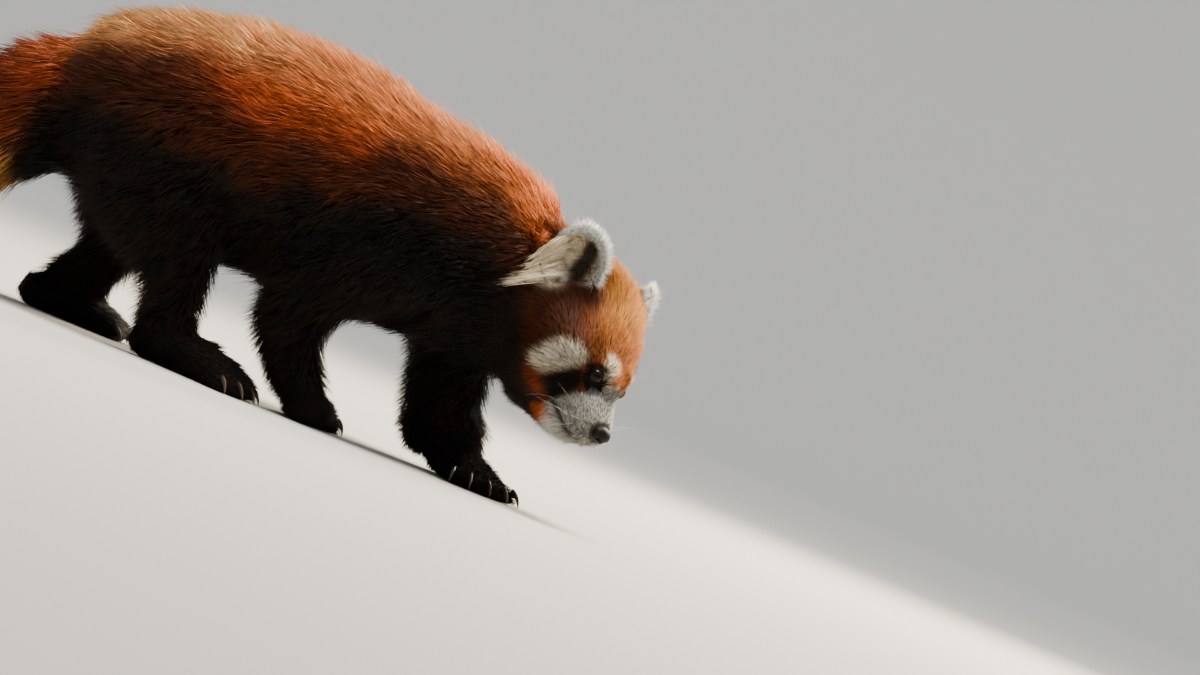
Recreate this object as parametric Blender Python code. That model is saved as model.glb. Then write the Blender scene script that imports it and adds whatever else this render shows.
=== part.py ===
# A red panda walking, life size, modelled whole and parted with thin cuts.
# X runs forward, Y to the animal's left and Z up; the floor is at zero.
# Lengths below are in centimetres and are turned to metres as each shape is made.

import math

import bmesh
import bpy
from mathutils import Matrix, Vector

CM = 0.01
GAP = 0.035                # half of this stays on each side of a cut

# Resolution of the whole body before it is parted
CORE_VOXEL = 0.6
BODY_VOXEL = 0.4
FLAT_ANGLE = 0.004         # radians; faces flatter than this to each other are merged
CORE_SMOOTHING = 14
BODY_SMOOTHING = 4
BODY_TRIANGLES = 2700
HEAD_REACH = (43.0, 4.5)   # ahead of and above this the surface stays finer
HEAD_WEIGHT = 0.9992
RING_POINTS = 24
STEPS_PER_STATION = 4
BODY_FULLNESS = 0.93       # below one, a section is fuller than an ellipse
LARGEST_CRUMB = 12         # bodies with no more corners than this are offcuts
SMOOTH_ANGLE = 50.0

# The head: where the tip of the nose is, and how the head is turned
NOSE_TIP = (51.0, -5.4, 8.15)
HEAD_YAW = -39.5
HEAD_PITCH = 38.0
HEAD_ROLL = -9.0
EYE_RADIUS = 0.7
EYE_PLACE = (-4.58, 2.15, 2.0)
NOSE_RADII = (0.74, 1.05, 0.74)
NOSE_PLACE = (-0.66, -0.02, 0.0)
EAR_BASE = (-10.7, 4.7, 4.9)
EAR_RADII = (2.7, 1.5, 3.3)
EAR_WALL = 0.75
EAR_HOLLOW = (0.0, 1.0, -0.1)   # how far the hollow stands forward of the ear's middle
# How each ear points and faces, and how far its middle stands from its base
EARS = {
    "ear_right": {"side": -1, "axis": (-0.80, 0.50, 0.34), "facing": (0.5, 0.0, 0.86), "lift": 2.4},
    "ear_left": {"side": 1, "axis": (-0.80, 0.32, 0.43), "facing": (0.70, 0.35, 0.70), "lift": 1.85},
}

# Trunk sections: x, top, bottom, half width, and how far the middle leans to the side
TRUNK = (
    (-2.0, 22.3, 14.6, 3.6, 0.0),
    (0.4, 25.7, 12.0, 6.2, 0.0),
    (4.0, 27.4, 10.6, 8.0, 0.0),
    (9.0, 28.9, 10.3, 8.8, 0.0),
    (14.0, 29.7, 9.7, 8.9, 0.0),
    (19.0, 29.8, 9.5, 8.6, 0.0),
    (24.0, 29.3, 9.5, 8.3, 0.0),
    (29.0, 28.1, 9.6, 8.2, 0.0),
    (34.0, 27.4, 9.9, 7.9, -0.1),
    (38.5, 26.0, 9.5, 7.1, -0.4),
    (42.0, 23.8, 9.0, 6.2, -0.9),
    (45.0, 21.4, 9.6, 5.0, -1.6),
)

# Tail sections along its own middle line: x, y, z, half width, half height
TAIL = (
    (2.5, 0.0, 19.2, 5.4, 5.8),
    (-2.0, 0.0, 16.4, 5.6, 5.9),
    (-6.2, 0.2, 12.6, 5.8, 5.6),
    (-10.8, 0.7, 9.2, 5.9, 5.8),
    (-16.2, 1.5, 7.4, 5.9, 5.9),
    (-21.6, 2.5, 6.9, 5.7, 5.7),
    (-27.0, 3.7, 7.2, 5.3, 5.3),
    (-31.5, 4.9, 8.0, 4.4, 4.4),
    (-34.4, 5.8, 8.7, 2.6, 2.6),
)

# Head sections: distance behind the nose, half width, top, bottom
HEAD = (
    (0.3, 1.0, 0.5, 1.1),
    (1.2, 1.75, 1.0, 2.1),
    (2.5, 2.3, 1.5, 3.45),
    (3.8, 2.75, 2.2, 4.05),
    (5.0, 4.1, 3.7, 4.6),
    (6.4, 5.65, 5.1, 5.5),
    (8.2, 6.3, 6.4, 6.1),
    (10.2, 6.3, 7.3, 6.2),
    (12.2, 5.7, 7.6, 5.7),
    (14.0, 4.4, 7.0, 4.4),
)

# Rounded forms added to the head on both sides: place, radii
HEAD_BULGES = {
    "cheek": ((-7.3, -1.2, 4.1), (2.8, 2.8, 2.3)),
    "whisker_pad": ((-1.9, -0.75, 1.15), (1.5, 1.15, 1.0)),
    "brow": ((-5.4, 3.1, 1.7), (1.25, 1.0, 1.2)),
    "chin": ((-1.9, -2.0, 0.35), (1.1, 0.85, 0.9)),
}

# Leg sections from the body down: x, y, z, half width, half depth
LEGS = {
    "right_hind": (
        (7.4, -4.4, 19.5, 4.4, 7.0),
        (9.3, -5.4, 14.5, 4.1, 6.8),
        (12.4, -5.9, 10.0, 3.4, 5.2),
        (13.8, -6.0, 6.8, 2.7, 3.4),
        (13.9, -5.9, 4.4, 2.4, 3.0),
        (14.4, -5.8, 2.4, 2.1, 2.7),
    ),
    "left_hind": (
        (5.0, 4.4, 19.0, 4.4, 6.2),
        (5.8, 5.4, 14.0, 4.1, 6.0),
        (6.6, 5.9, 9.6, 3.4, 4.6),
        (6.4, 6.0, 6.6, 2.7, 3.2),
        (4.7, 6.0, 4.2, 2.4, 2.8),
        (3.6, 5.9, 2.3, 2.0, 2.3),
    ),
    "right_fore": (
        (35.0, -4.4, 17.5, 3.6, 4.2),
        (29.0, -5.2, 14.4, 3.7, 4.2),
        (23.9, -5.4, 10.4, 3.2, 4.2),
        (23.9, -5.2, 7.0, 2.7, 3.6),
        (25.3, -5.0, 4.2, 2.4, 2.9),
        (26.8, -4.8, 2.2, 2.1, 2.5),
    ),
    "left_fore": (
        (36.4, 4.4, 17.0, 3.6, 5.2),
        (36.3, 5.1, 12.5, 3.6, 4.9),
        (36.8, 5.2, 9.0, 3.2, 4.4),
        (37.4, 5.0, 6.2, 2.8, 4.0),
        (38.3, 4.9, 3.8, 2.6, 4.1),
        (38.9, 4.8, 1.6, 2.4, 3.6),
    ),
}

# Feet: where the heel is, which way the toes point, length without claws, width and height
FEET = {
    "right_hind": {"heel": (12.2, -5.0), "heading": -16.0, "length": 11.4, "width": 5.5, "height": 4.6},
    "left_hind": {"heel": (0.9, 5.3), "heading": 12.0, "length": 10.0, "width": 5.2, "height": 4.2},
    "right_fore": {"heel": (26.9, -6.6), "heading": 80.0, "length": 7.6, "width": 5.0, "height": 3.8},
    "left_fore": {"heel": (39.2, 7.4), "heading": -60.0, "length": 9.4, "width": 6.6, "height": 3.4},
}
# Rounded forms along a foot: share of its length, of its half width and of its half height
PALM = ((0.12, 0.62, 0.86), (0.3, 0.84, 1.0), (0.5, 0.92, 0.9), (0.68, 0.96, 0.72), (0.8, 0.86, 0.55))
PALM_REACH = 0.19
TOES = 5
TOE_FAN = 15.0             # degrees between neighbouring toes
TOE_SPACING = 0.161        # of the foot's width
TOE_RADIUS = 0.84
TOE_SHARE = 0.34           # of the foot's length
TOE_REACH = (0.72, 0.93, 1.0, 0.95, 0.78)
# Rounded forms along a toe: share of its reach, and size against its radius
TOE_FORM = ((0.1, 1.12), (0.4, 1.06), (0.7, 1.0), (1.0, 0.96))
TOE_SLIMNESS = 0.86
SOLE_SINK = 0.28           # the sole is rounded this far below the floor, then cut flat

CLAW_LENGTH = 1.75
CLAW_RADIUS = 0.24
CLAW_SLIMNESS = 0.72       # a claw is narrower than it is deep
CLAW_DEPTH = 1.15
CLAW_TIP = 0.14            # of the radius at the root
CLAW_START = 14.0          # degrees below level at the root
CLAW_TURN = 62.0           # degrees that a claw curls down through
CLAW_RISE = 0.92
CLAW_SETBACK = 0.35        # of a toe's radius, from the middle of its last form
CLAW_CLEARANCE = 0.05
CLAW_SIDES = 5
CLAW_ROWS = 4

# Rounded cuts that part the upper legs from the trunk: middle, radii, tilt in degrees
LIMB_CUTS = {
    "right_hind_thigh": ((10.2, -7.0, 12.4), (9.9, 6.4, 9.0), 12.0),
    "left_hind_thigh": ((6.2, 7.0, 12.2), (8.9, 6.4, 9.1), 5.0),
    "right_fore_arm": ((26.6, -7.0, 12.4), (10.8, 6.4, 7.8), -14.0),
    "left_fore_arm": ((37.0, 7.0, 11.6), (7.8, 6.6, 8.2), 0.0),
}
LOWER_PARTS = {
    "right_hind": ("right_hind_shank", "right_hind_foot", 3.6),
    "left_hind": ("left_hind_shank", "left_hind_foot", 3.6),
    "right_fore": ("right_forearm", "right_fore_paw", 3.0),
    "left_fore": ("left_forearm", "left_fore_paw", 3.0),
}

TOP_OF_BACK = (20.0, 0.0, 29.5)

# Plain cuts across what is left: a place on the cut and the way it faces
TAIL_ROOT_CUT = ((-0.9, 0.0, 18.0), (1.0, 0.0, 0.0))
TAIL_CUTS = (((-12.6, 1.0, 8.5), (1.0, -0.15, 0.3)), ((-24.0, 3.0, 7.0), (1.0, -0.2, 0.0)))
NECK_CUT = ((36.4, 0.0, 17.0), (-1.0, 0.1, 0.05))
HEAD_CUT = ((42.4, -0.6, 16.0), (-0.9, 0.35, 0.05))
TRUNK_CUTS = (((14.0, 0.0, 18.0), (1.0, 0.0, 0.0)), ((26.5, 0.0, 18.0), (1.0, 0.0, 0.0)))

COLOURS = {
    "rust": ((0.33, 0.085, 0.022), 0.75),
    "umber": ((0.030, 0.017, 0.012), 0.8),
    "gold": ((0.50, 0.19, 0.055), 0.75),
    "cream": ((0.72, 0.62, 0.50), 0.75),
    "ring": ((0.45, 0.23, 0.10), 0.75),
    "nose": ((0.012, 0.010, 0.011), 0.35),
    "eye": ((0.020, 0.010, 0.006), 0.08),
    "horn": ((0.42, 0.34, 0.27), 0.4),
}


def clear_scene():
    for thing in list(bpy.data.objects):
        bpy.data.objects.remove(thing, do_unlink=True)


def make_material(name):
    colour, roughness = COLOURS[name]
    material = bpy.data.materials.new(name)
    material.use_nodes = True
    shader = material.node_tree.nodes["Principled BSDF"]
    shader.inputs["Base Color"].default_value = (*colour, 1.0)
    shader.inputs["Roughness"].default_value = roughness
    shader.inputs["Metallic"].default_value = 0.0
    material.diffuse_color = (*colour, 1.0)
    return material


# The head's own axes: columns are snout, up and the animal's left, written as a frame
def head_frame():
    turn = Matrix.Rotation(math.radians(HEAD_YAW), 3, "Z")
    turn = turn @ Matrix.Rotation(math.radians(HEAD_PITCH), 3, "Y")
    turn = turn @ Matrix.Rotation(math.radians(HEAD_ROLL), 3, "X")
    snout, left, up = turn.col
    frame = Matrix((snout, up, left)).transposed().to_4x4()
    frame.translation = Vector(NOSE_TIP)
    return frame


def mirrored(values, side):
    return Vector((values[0], values[1], values[2] * side))


# Catmull-Rom steps between short lists of stations, the same for every column
def smooth_stations(stations, steps=STEPS_PER_STATION):
    rows = [Vector(row) for row in stations]
    padded = [2 * rows[0] - rows[1], *rows, 2 * rows[-1] - rows[-2]]
    smooth = []
    for before, start, end, after in zip(padded, padded[1:], padded[2:], padded[3:]):
        for step in range(steps):
            t = step / steps
            value = 2 * start + (end - before) * t
            value = value + (2 * before - 5 * start + 4 * end - after) * t ** 2
            value = value + (3 * start - before - 3 * end + after) * t ** 3
            smooth.append(value / 2)
    return [*smooth, rows[-1]]


def add_ring(bm, middle, side, up, half_width, half_up, half_down, fullness):
    made = bmesh.ops.create_circle(bm, segments=RING_POINTS, radius=1.0)
    for vert in made["verts"]:
        across, above = vert.co.x, vert.co.y
        reach = half_up if above > 0 else half_down
        across = math.copysign(abs(across) ** fullness, across)
        above = math.copysign(abs(above) ** fullness, above)
        vert.co = middle + side * across * half_width + up * above * reach
    return list({edge for vert in made["verts"] for edge in vert.link_edges})


# Bridges a row of rings into one closed form
def close_rings(bm, rings):
    for first, second in zip(rings, rings[1:]):
        bmesh.ops.bridge_loops(bm, edges=first + second)
    for ring in (rings[0], rings[-1]):
        bmesh.ops.contextual_create(bm, geom=ring)


def add_trunk(bm):
    rings = []
    for x, top, bottom, half_width, lean in smooth_stations(TRUNK):
        middle = Vector((x, lean, (top + bottom) / 2))
        half = (top - bottom) / 2
        side, up = Vector((0, 1, 0)), Vector((0, 0, 1))
        rings.append(add_ring(bm, middle, side, up, half_width, half, half, BODY_FULLNESS))
    close_rings(bm, rings)


# A form whose rings stand square to its own middle line
def add_limb(bm, stations):
    rows = smooth_stations(stations)
    rings = []
    for index, row in enumerate(rows):
        ahead = rows[min(index + 1, len(rows) - 1)]
        behind = rows[max(index - 1, 0)]
        along = (Vector(ahead[:3]) - Vector(behind[:3])).normalized()
        side = Vector((0, 1, 0)) - along * along.y
        side.normalize()
        up = along.cross(side)
        rings.append(add_ring(bm, Vector(row[:3]), side, up, row[3], row[4], row[4], 1.0))
    close_rings(bm, rings)


def add_head(bm, frame):
    turn = frame.to_3x3()
    snout, up, left = turn.col
    rings = []
    for behind, half_width, top, bottom in smooth_stations(HEAD):
        middle = frame @ Vector((-behind, 0.0, 0.0))
        rings.append(add_ring(bm, middle, left, up, half_width, top, bottom, BODY_FULLNESS))
    close_rings(bm, rings)
    for place, radii in HEAD_BULGES.values():
        for side in (-1, 1):
            add_ellipsoid(bm, frame @ Matrix.Translation(mirrored(place, side)), radii)


def add_ellipsoid(bm, matrix, radii, detail=3):
    stretched = matrix @ Matrix.Diagonal((*radii, 1.0))
    bmesh.ops.create_icosphere(bm, subdivisions=detail, radius=1.0, matrix=stretched)


# The foot's own frame stands at the heel on the floor, with X along the toes
def foot_frame(foot):
    frame = Matrix.Rotation(math.radians(foot["heading"]), 4, "Z")
    frame.translation = Vector((*foot["heel"], 0.0))
    return frame


def toe_line(foot, index):
    spread = index - (TOES - 1) / 2
    angle = math.radians(spread * TOE_FAN)
    start = Vector((foot["length"] * (1.0 - TOE_SHARE), spread * foot["width"] * TOE_SPACING, 0.0))
    reach = foot["length"] * TOE_SHARE * TOE_REACH[index]
    along = Vector((math.cos(angle), math.sin(angle), 0.0))
    return start, along, reach - TOE_RADIUS


def add_foot(bm, foot):
    frame = foot_frame(foot)
    half, rise = foot["width"] / 2, foot["height"] / 2
    reach = foot["length"] * PALM_REACH
    for along, wide, high in PALM:
        lift = rise * high - SOLE_SINK
        place = frame @ Matrix.Translation((foot["length"] * along, 0.0, lift))
        add_ellipsoid(bm, place, (reach, half * wide, rise * high))
    for index in range(TOES):
        start, along, reach = toe_line(foot, index)
        for share, size in TOE_FORM:
            radius = TOE_RADIUS * size
            lift = Vector((0.0, 0.0, radius - SOLE_SINK))
            place = frame @ Matrix.Translation(start + along * reach * share + lift)
            add_ellipsoid(bm, place, (radius, radius * TOE_SLIMNESS, radius))


def new_object(name, bm, material=None):
    bmesh.ops.scale(bm, vec=(CM, CM, CM), verts=bm.verts)
    bmesh.ops.recalc_face_normals(bm, faces=bm.faces)
    mesh = bpy.data.meshes.new(name)
    bm.to_mesh(mesh)
    bm.free()
    made = bpy.data.objects.new(name, mesh)
    bpy.context.scene.collection.objects.link(made)
    if material:
        mesh.materials.append(material)
    return made


def apply_modifiers(thing):
    bpy.context.view_layer.update()
    graph = bpy.context.evaluated_depsgraph_get()
    mesh = bpy.data.meshes.new_from_object(thing.evaluated_get(graph))
    thing.modifiers.clear()
    thing.data = mesh


def remesh(thing, voxel, smoothing):
    made = thing.modifiers.new("skin", "REMESH")
    made.mode = "VOXEL"
    made.voxel_size = voxel * CM
    soften = thing.modifiers.new("soften", "SMOOTH")
    soften.factor = 0.5
    soften.iterations = smoothing
    apply_modifiers(thing)


# Keeps the head and feet finer than the trunk and tail
def thin_out(thing, triangles):
    group = thing.vertex_groups.new(name="plain")
    for vert in thing.data.vertices:
        x, z = vert.co.x / CM, vert.co.z / CM
        in_head = x > HEAD_REACH[0] and z > HEAD_REACH[1]
        group.add([vert.index], HEAD_WEIGHT if in_head else 1.0, "REPLACE")
    fewer = thing.modifiers.new("fewer", "DECIMATE")
    fewer.vertex_group = "plain"
    fewer.vertex_group_factor = 1.0
    fewer.ratio = triangles / (2 * len(thing.data.polygons))
    apply_modifiers(thing)
    thing.vertex_groups.clear()


def join_into(thing, other):
    bm = bmesh.new()
    bm.from_mesh(thing.data)
    bm.from_mesh(other.data)
    bm.to_mesh(thing.data)
    bm.free()
    bpy.data.objects.remove(other, do_unlink=True)


def make_whole_body(frame):
    core = bmesh.new()
    add_trunk(core)
    add_limb(core, TAIL)
    for stations in LEGS.values():
        add_limb(core, stations)
    body = new_object("whole_body", core)
    remesh(body, CORE_VOXEL, CORE_SMOOTHING)
    ends = bmesh.new()
    add_head(ends, frame)
    for foot in FEET.values():
        add_foot(ends, foot)
    join_into(body, new_object("ends", ends))
    remesh(body, BODY_VOXEL, BODY_SMOOTHING)
    thin_out(body, BODY_TRIANGLES)
    cut_plane(body, (0.0, 0.0, 0.0), (0.0, 0.0, 1.0), 0.0)
    return body


# Keeps the side that the plane faces, and closes the cut
def cut_plane(thing, place, facing, margin=GAP / 2):
    normal = Vector(facing).normalized()
    point = (Vector(place) + normal * margin) * CM
    bm = bmesh.new()
    bm.from_mesh(thing.data)
    geometry = bm.verts[:] + bm.edges[:] + bm.faces[:]
    bmesh.ops.bisect_plane(bm, geom=geometry, dist=1e-7, plane_co=point, plane_no=normal, clear_inner=True)
    rim = [edge for edge in bm.edges if edge.is_boundary]
    bmesh.ops.triangle_fill(bm, edges=rim, use_beauty=True, normal=-normal)
    bmesh.ops.recalc_face_normals(bm, faces=bm.faces)
    bm.to_mesh(thing.data)
    bm.free()


def copy_of(thing, name):
    made = thing.copy()
    made.data = thing.data.copy()
    made.name = name
    bpy.context.scene.collection.objects.link(made)
    return made


# Splits a piece at a plane: the named piece is the side away from the facing
def part_at_plane(thing, name, place, facing):
    piece = copy_of(thing, name)
    cut_plane(piece, place, [-value for value in facing])
    cut_plane(thing, place, facing)
    return piece


def combine(thing, cutter, operation):
    cut = thing.modifiers.new("cut", "BOOLEAN")
    cut.operation = operation
    cut.solver = "EXACT"
    cut.object = cutter
    apply_modifiers(thing)


def bodies_of(mesh):
    bm = bmesh.new()
    bm.from_mesh(mesh)
    seen, groups = set(), []
    for vert in bm.verts:
        if vert.index in seen:
            continue
        stack, group = [vert], []
        seen.add(vert.index)
        while stack:
            here = stack.pop()
            group.append(here.index)
            for edge in here.link_edges:
                other = edge.other_vert(here)
                if other.index not in seen:
                    seen.add(other.index)
                    stack.append(other)
        groups.append(group)
    bm.free()
    return groups


def keep_vertices(thing, kept):
    bm = bmesh.new()
    bm.from_mesh(thing.data)
    bm.verts.ensure_lookup_table()
    wanted = set(kept)
    bmesh.ops.delete(bm, geom=[v for v in bm.verts if v.index not in wanted], context="VERTS")
    bm.to_mesh(thing.data)
    bm.free()


def keep_largest(thing):
    groups = bodies_of(thing.data)
    keep_vertices(thing, max(groups, key=len))


def cutter_ellipsoid(middle, radii, tilt, grow):
    bm = bmesh.new()
    place = Matrix.Translation(middle) @ Matrix.Rotation(math.radians(tilt), 4, "Y")
    add_ellipsoid(bm, place, [radius + grow for radius in radii], 2)
    return new_object("limb_cutter", bm)


# Parts an upper leg from the rest; the lower leg then stands loose
def part_limbs(body):
    pieces = {}
    for name, (middle, radii, tilt) in LIMB_CUTS.items():
        piece = copy_of(body, name)
        inner = cutter_ellipsoid(middle, radii, tilt, -GAP / 2)
        combine(piece, inner, "INTERSECT")
        outer = cutter_ellipsoid(middle, radii, tilt, GAP / 2)
        combine(body, outer, "DIFFERENCE")
        for cutter in (inner, outer):
            bpy.data.objects.remove(cutter, do_unlink=True)
        keep_largest(piece)
        pieces[name] = piece
    return pieces


def nearest_group(thing, groups, point):
    verts = thing.data.vertices
    target = Vector(point) * CM
    return min(groups, key=lambda group: min((verts[i].co - target).length for i in group))


def part_lower_legs(body):
    pieces = {}
    groups = [group for group in bodies_of(body.data) if len(group) > LARGEST_CRUMB]
    trunk = nearest_group(body, groups, TOP_OF_BACK)
    for leg, (upper_name, foot_name, ankle) in LOWER_PARTS.items():
        heel = (*FEET[leg]["heel"], 0.0)
        shank = copy_of(body, upper_name)
        keep_vertices(shank, nearest_group(body, groups, heel))
        foot = part_at_plane(shank, foot_name, (0.0, 0.0, ankle), (0.0, 0.0, 1.0))
        pieces[upper_name] = shank
        pieces[foot_name] = foot
    keep_vertices(body, trunk)
    return pieces


# A claw bends down along an arc from inside the toe; grown, it is the socket that holds it
def make_claw_form(foot, index, grow):
    start, along, reach = toe_line(foot, index)
    root = start + along * (reach + TOE_RADIUS * CLAW_SETBACK) + Vector((0, 0, CLAW_RISE))
    side = Vector((-along.y, along.x, 0.0))
    first, turn = math.radians(CLAW_START), math.radians(CLAW_TURN)
    radius = CLAW_LENGTH / turn
    bm = bmesh.new()
    rings = []
    for row in range(CLAW_ROWS):
        share = row / (CLAW_ROWS - 1)
        angle = first + turn * share
        forward = radius * (math.sin(angle) - math.sin(first))
        drop = radius * (math.cos(first) - math.cos(angle))
        ahead = along * math.cos(angle) - Vector((0, 0, math.sin(angle)))
        middle = root + along * forward - Vector((0, 0, drop)) + ahead * grow * share
        size = CLAW_RADIUS * (1.0 - (1.0 - CLAW_TIP) * share) + grow
        up = ahead.cross(side)
        made = bmesh.ops.create_circle(bm, segments=CLAW_SIDES, radius=size)
        for vert in made["verts"]:
            vert.co = middle + side * vert.co.x * CLAW_SLIMNESS + up * vert.co.y * CLAW_DEPTH
        rings.append(list({edge for vert in made["verts"] for edge in vert.link_edges}))
    close_rings(bm, rings)
    bmesh.ops.transform(bm, matrix=foot_frame(foot), verts=bm.verts)
    lowest = min(vert.co.z for vert in bm.verts)
    lift = max(0.0, CLAW_CLEARANCE - grow - lowest)
    bmesh.ops.translate(bm, vec=(0.0, 0.0, lift), verts=bm.verts)
    bmesh.ops.triangulate(bm, faces=bm.faces)
    return bm


def make_claws(leg, foot_piece, material):
    claws = []
    for index in range(TOES):
        claw = new_object(f"{leg}_claw_{index + 1}", make_claw_form(FEET[leg], index, 0.0), material)
        socket = new_object("claw_socket", make_claw_form(FEET[leg], index, GAP))
        combine(foot_piece, socket, "DIFFERENCE")
        bpy.data.objects.remove(socket, do_unlink=True)
        claws.append(claw)
    keep_largest(foot_piece)
    return claws


def ear_frame(frame, ear):
    side = ear["side"]
    up = mirrored(ear["axis"], side).normalized()
    facing = mirrored(ear["facing"], side)
    facing = (facing - up * facing.dot(up)).normalized()
    across = facing.cross(up)
    local = Matrix((across, facing, up)).transposed().to_4x4()
    local.translation = mirrored(EAR_BASE, side) + up * ear["lift"]
    return frame @ local


# A cupped ear: a rounded form with its hollow cut out of the front
def make_ear(name, frame, material):
    place = ear_frame(frame, EARS[name])
    outer = bmesh.new()
    add_ellipsoid(outer, place, EAR_RADII)
    ear = new_object(name, outer, material)
    hollow = bmesh.new()
    shift = Matrix.Translation(EAR_HOLLOW)
    add_ellipsoid(hollow, place @ shift, [radius - EAR_WALL for radius in EAR_RADII], 2)
    cutter = new_object("ear_hollow", hollow)
    combine(ear, cutter, "DIFFERENCE")
    bpy.data.objects.remove(cutter, do_unlink=True)
    return ear


def carve(thing, matrix, radii, detail=2):
    bm = bmesh.new()
    add_ellipsoid(bm, matrix, [radius + GAP for radius in radii], detail)
    cutter = new_object("socket", bm)
    combine(thing, cutter, "DIFFERENCE")
    bpy.data.objects.remove(cutter, do_unlink=True)


# The eyes, ears and nose, each in a socket of its own shape
def make_face(head, neck, frame, materials):
    pieces = []
    for side, word in ((-1, "right"), (1, "left")):
        place = frame @ Matrix.Translation(mirrored(EYE_PLACE, side))
        radii = (EYE_RADIUS,) * 3
        bm = bmesh.new()
        add_ellipsoid(bm, place, radii, 2)
        pieces.append(new_object(f"eye_{word}", bm, materials["eye"]))
        carve(head, place, radii, 2)
        pieces.append(make_ear(f"ear_{word}", frame, materials["cream"]))
        place = ear_frame(frame, EARS[f"ear_{word}"])
        for piece in (head, neck):
            carve(piece, place, EAR_RADII, 3)
    place = frame @ Matrix.Translation(NOSE_PLACE)
    radii = (NOSE_RADII[0], NOSE_RADII[2], NOSE_RADII[1])
    bm = bmesh.new()
    add_ellipsoid(bm, place, radii, 2)
    pieces.append(new_object("nose", bm, materials["nose"]))
    carve(head, place, radii, 2)
    for piece in (head, neck):
        keep_largest(piece)
    return pieces


def stand_on_origin(pieces):
    corners = [vert.co for piece in pieces for vert in piece.data.vertices]
    low = Vector([min(corner[axis] for corner in corners) for axis in range(3)])
    high = Vector([max(corner[axis] for corner in corners) for axis in range(3)])
    shift = Vector((-(low.x + high.x) / 2, -(low.y + high.y) / 2, -low.z))
    for piece in pieces:
        piece.data.transform(Matrix.Translation(shift))
    print("moved by", [round(value, 5) for value in shift])
    print("size", [round(value, 4) for value in high - low])


def finish_piece(piece, material):
    bm = bmesh.new()
    bm.from_mesh(piece.data)
    bmesh.ops.remove_doubles(bm, verts=bm.verts, dist=1e-6)
    bmesh.ops.dissolve_limit(bm, angle_limit=FLAT_ANGLE, verts=bm.verts, edges=bm.edges)
    bmesh.ops.triangulate(bm, faces=bm.faces)
    bm.to_mesh(piece.data)
    bm.free()
    if material:
        piece.data.materials.clear()
        piece.data.materials.append(material)
    piece.data.shade_smooth()
    piece.data.set_sharp_from_angle(angle=math.radians(SMOOTH_ANGLE))


def main():
    clear_scene()
    materials = {name: make_material(name) for name in COLOURS}
    frame = head_frame()
    body = make_whole_body(frame)
    flesh = part_limbs(body)
    flesh.update(part_lower_legs(body))
    flesh["head"] = part_at_plane(body, "head", *HEAD_CUT)
    flesh["neck"] = part_at_plane(body, "neck", *NECK_CUT)
    tail = part_at_plane(body, "tail_base", *TAIL_ROOT_CUT)
    flesh["tail_tip"] = part_at_plane(tail, "tail_tip", *TAIL_CUTS[1])
    flesh["tail_middle"] = part_at_plane(tail, "tail_middle", *TAIL_CUTS[0])
    flesh["tail_base"] = tail
    flesh["trunk_rear"] = part_at_plane(body, "trunk_rear", *TRUNK_CUTS[0])
    flesh["trunk_middle"] = part_at_plane(body, "trunk_middle", *TRUNK_CUTS[1])
    body.name = "trunk_front"
    flesh["trunk_front"] = body
    details = make_face(flesh["head"], flesh["neck"], frame, materials)
    for leg, (_, foot_name, _) in LOWER_PARTS.items():
        details += make_claws(leg, flesh[foot_name], materials["horn"])
    coats = {"head": "gold", "tail_base": "rust", "tail_middle": "ring"}
    for name, piece in flesh.items():
        plain = "rust" if name.startswith(("trunk", "neck")) else "umber"
        finish_piece(piece, materials[coats.get(name, plain)])
    for piece in details:
        finish_piece(piece, None)
    pieces = [*flesh.values(), *details]
    stand_on_origin(pieces)
    print("triangles", sum(len(piece.data.polygons) for piece in pieces))


main()
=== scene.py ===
# A red panda walking, life size: one skin, a coat of joined mesh tufts, eyes, nose, claws and whiskers.
# Lengths in the dictionaries are centimetres in the animal's own frame: X forward, Y to its left, Z up.
# Places on the head are in the head's own frame instead: ahead of the nose's tip, up, and to the left.

import bmesh
import bpy
import math
import numpy as np
from mathutils import Matrix, Vector
from mathutils.bvhtree import BVHTree
from mathutils.kdtree import KDTree


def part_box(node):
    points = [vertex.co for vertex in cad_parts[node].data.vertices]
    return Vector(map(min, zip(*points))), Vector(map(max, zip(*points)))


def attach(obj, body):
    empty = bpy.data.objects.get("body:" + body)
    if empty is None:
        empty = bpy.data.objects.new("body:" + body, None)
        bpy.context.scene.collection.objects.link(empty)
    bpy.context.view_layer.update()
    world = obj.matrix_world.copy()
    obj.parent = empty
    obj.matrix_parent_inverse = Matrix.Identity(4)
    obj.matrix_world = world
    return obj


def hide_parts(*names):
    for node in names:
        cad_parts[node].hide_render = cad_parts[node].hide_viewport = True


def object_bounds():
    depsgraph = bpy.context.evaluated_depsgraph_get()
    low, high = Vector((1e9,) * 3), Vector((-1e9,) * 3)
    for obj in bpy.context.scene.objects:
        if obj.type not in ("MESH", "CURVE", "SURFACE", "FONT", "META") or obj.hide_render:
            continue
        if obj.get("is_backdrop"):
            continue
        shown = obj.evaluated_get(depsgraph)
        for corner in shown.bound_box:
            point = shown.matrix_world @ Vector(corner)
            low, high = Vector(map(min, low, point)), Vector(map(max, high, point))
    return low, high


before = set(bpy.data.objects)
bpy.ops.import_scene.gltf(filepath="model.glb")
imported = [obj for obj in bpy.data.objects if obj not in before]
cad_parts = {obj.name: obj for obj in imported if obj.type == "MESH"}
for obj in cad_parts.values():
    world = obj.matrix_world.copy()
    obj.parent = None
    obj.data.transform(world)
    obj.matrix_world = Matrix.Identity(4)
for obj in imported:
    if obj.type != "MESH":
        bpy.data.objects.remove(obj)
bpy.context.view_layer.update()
cm = 0.01
print("frame loaded")


# Small tools

def linear(code):
    values = [int(code[i:i + 2], 16) / 255 for i in (1, 3, 5)]
    return np.array([v / 12.92 if v <= 0.04045 else ((v + 0.055) / 1.055) ** 2.4 for v in values])


def unit(rows):
    return rows / np.maximum(np.linalg.norm(rows, axis=-1, keepdims=True), 1e-9)


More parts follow.
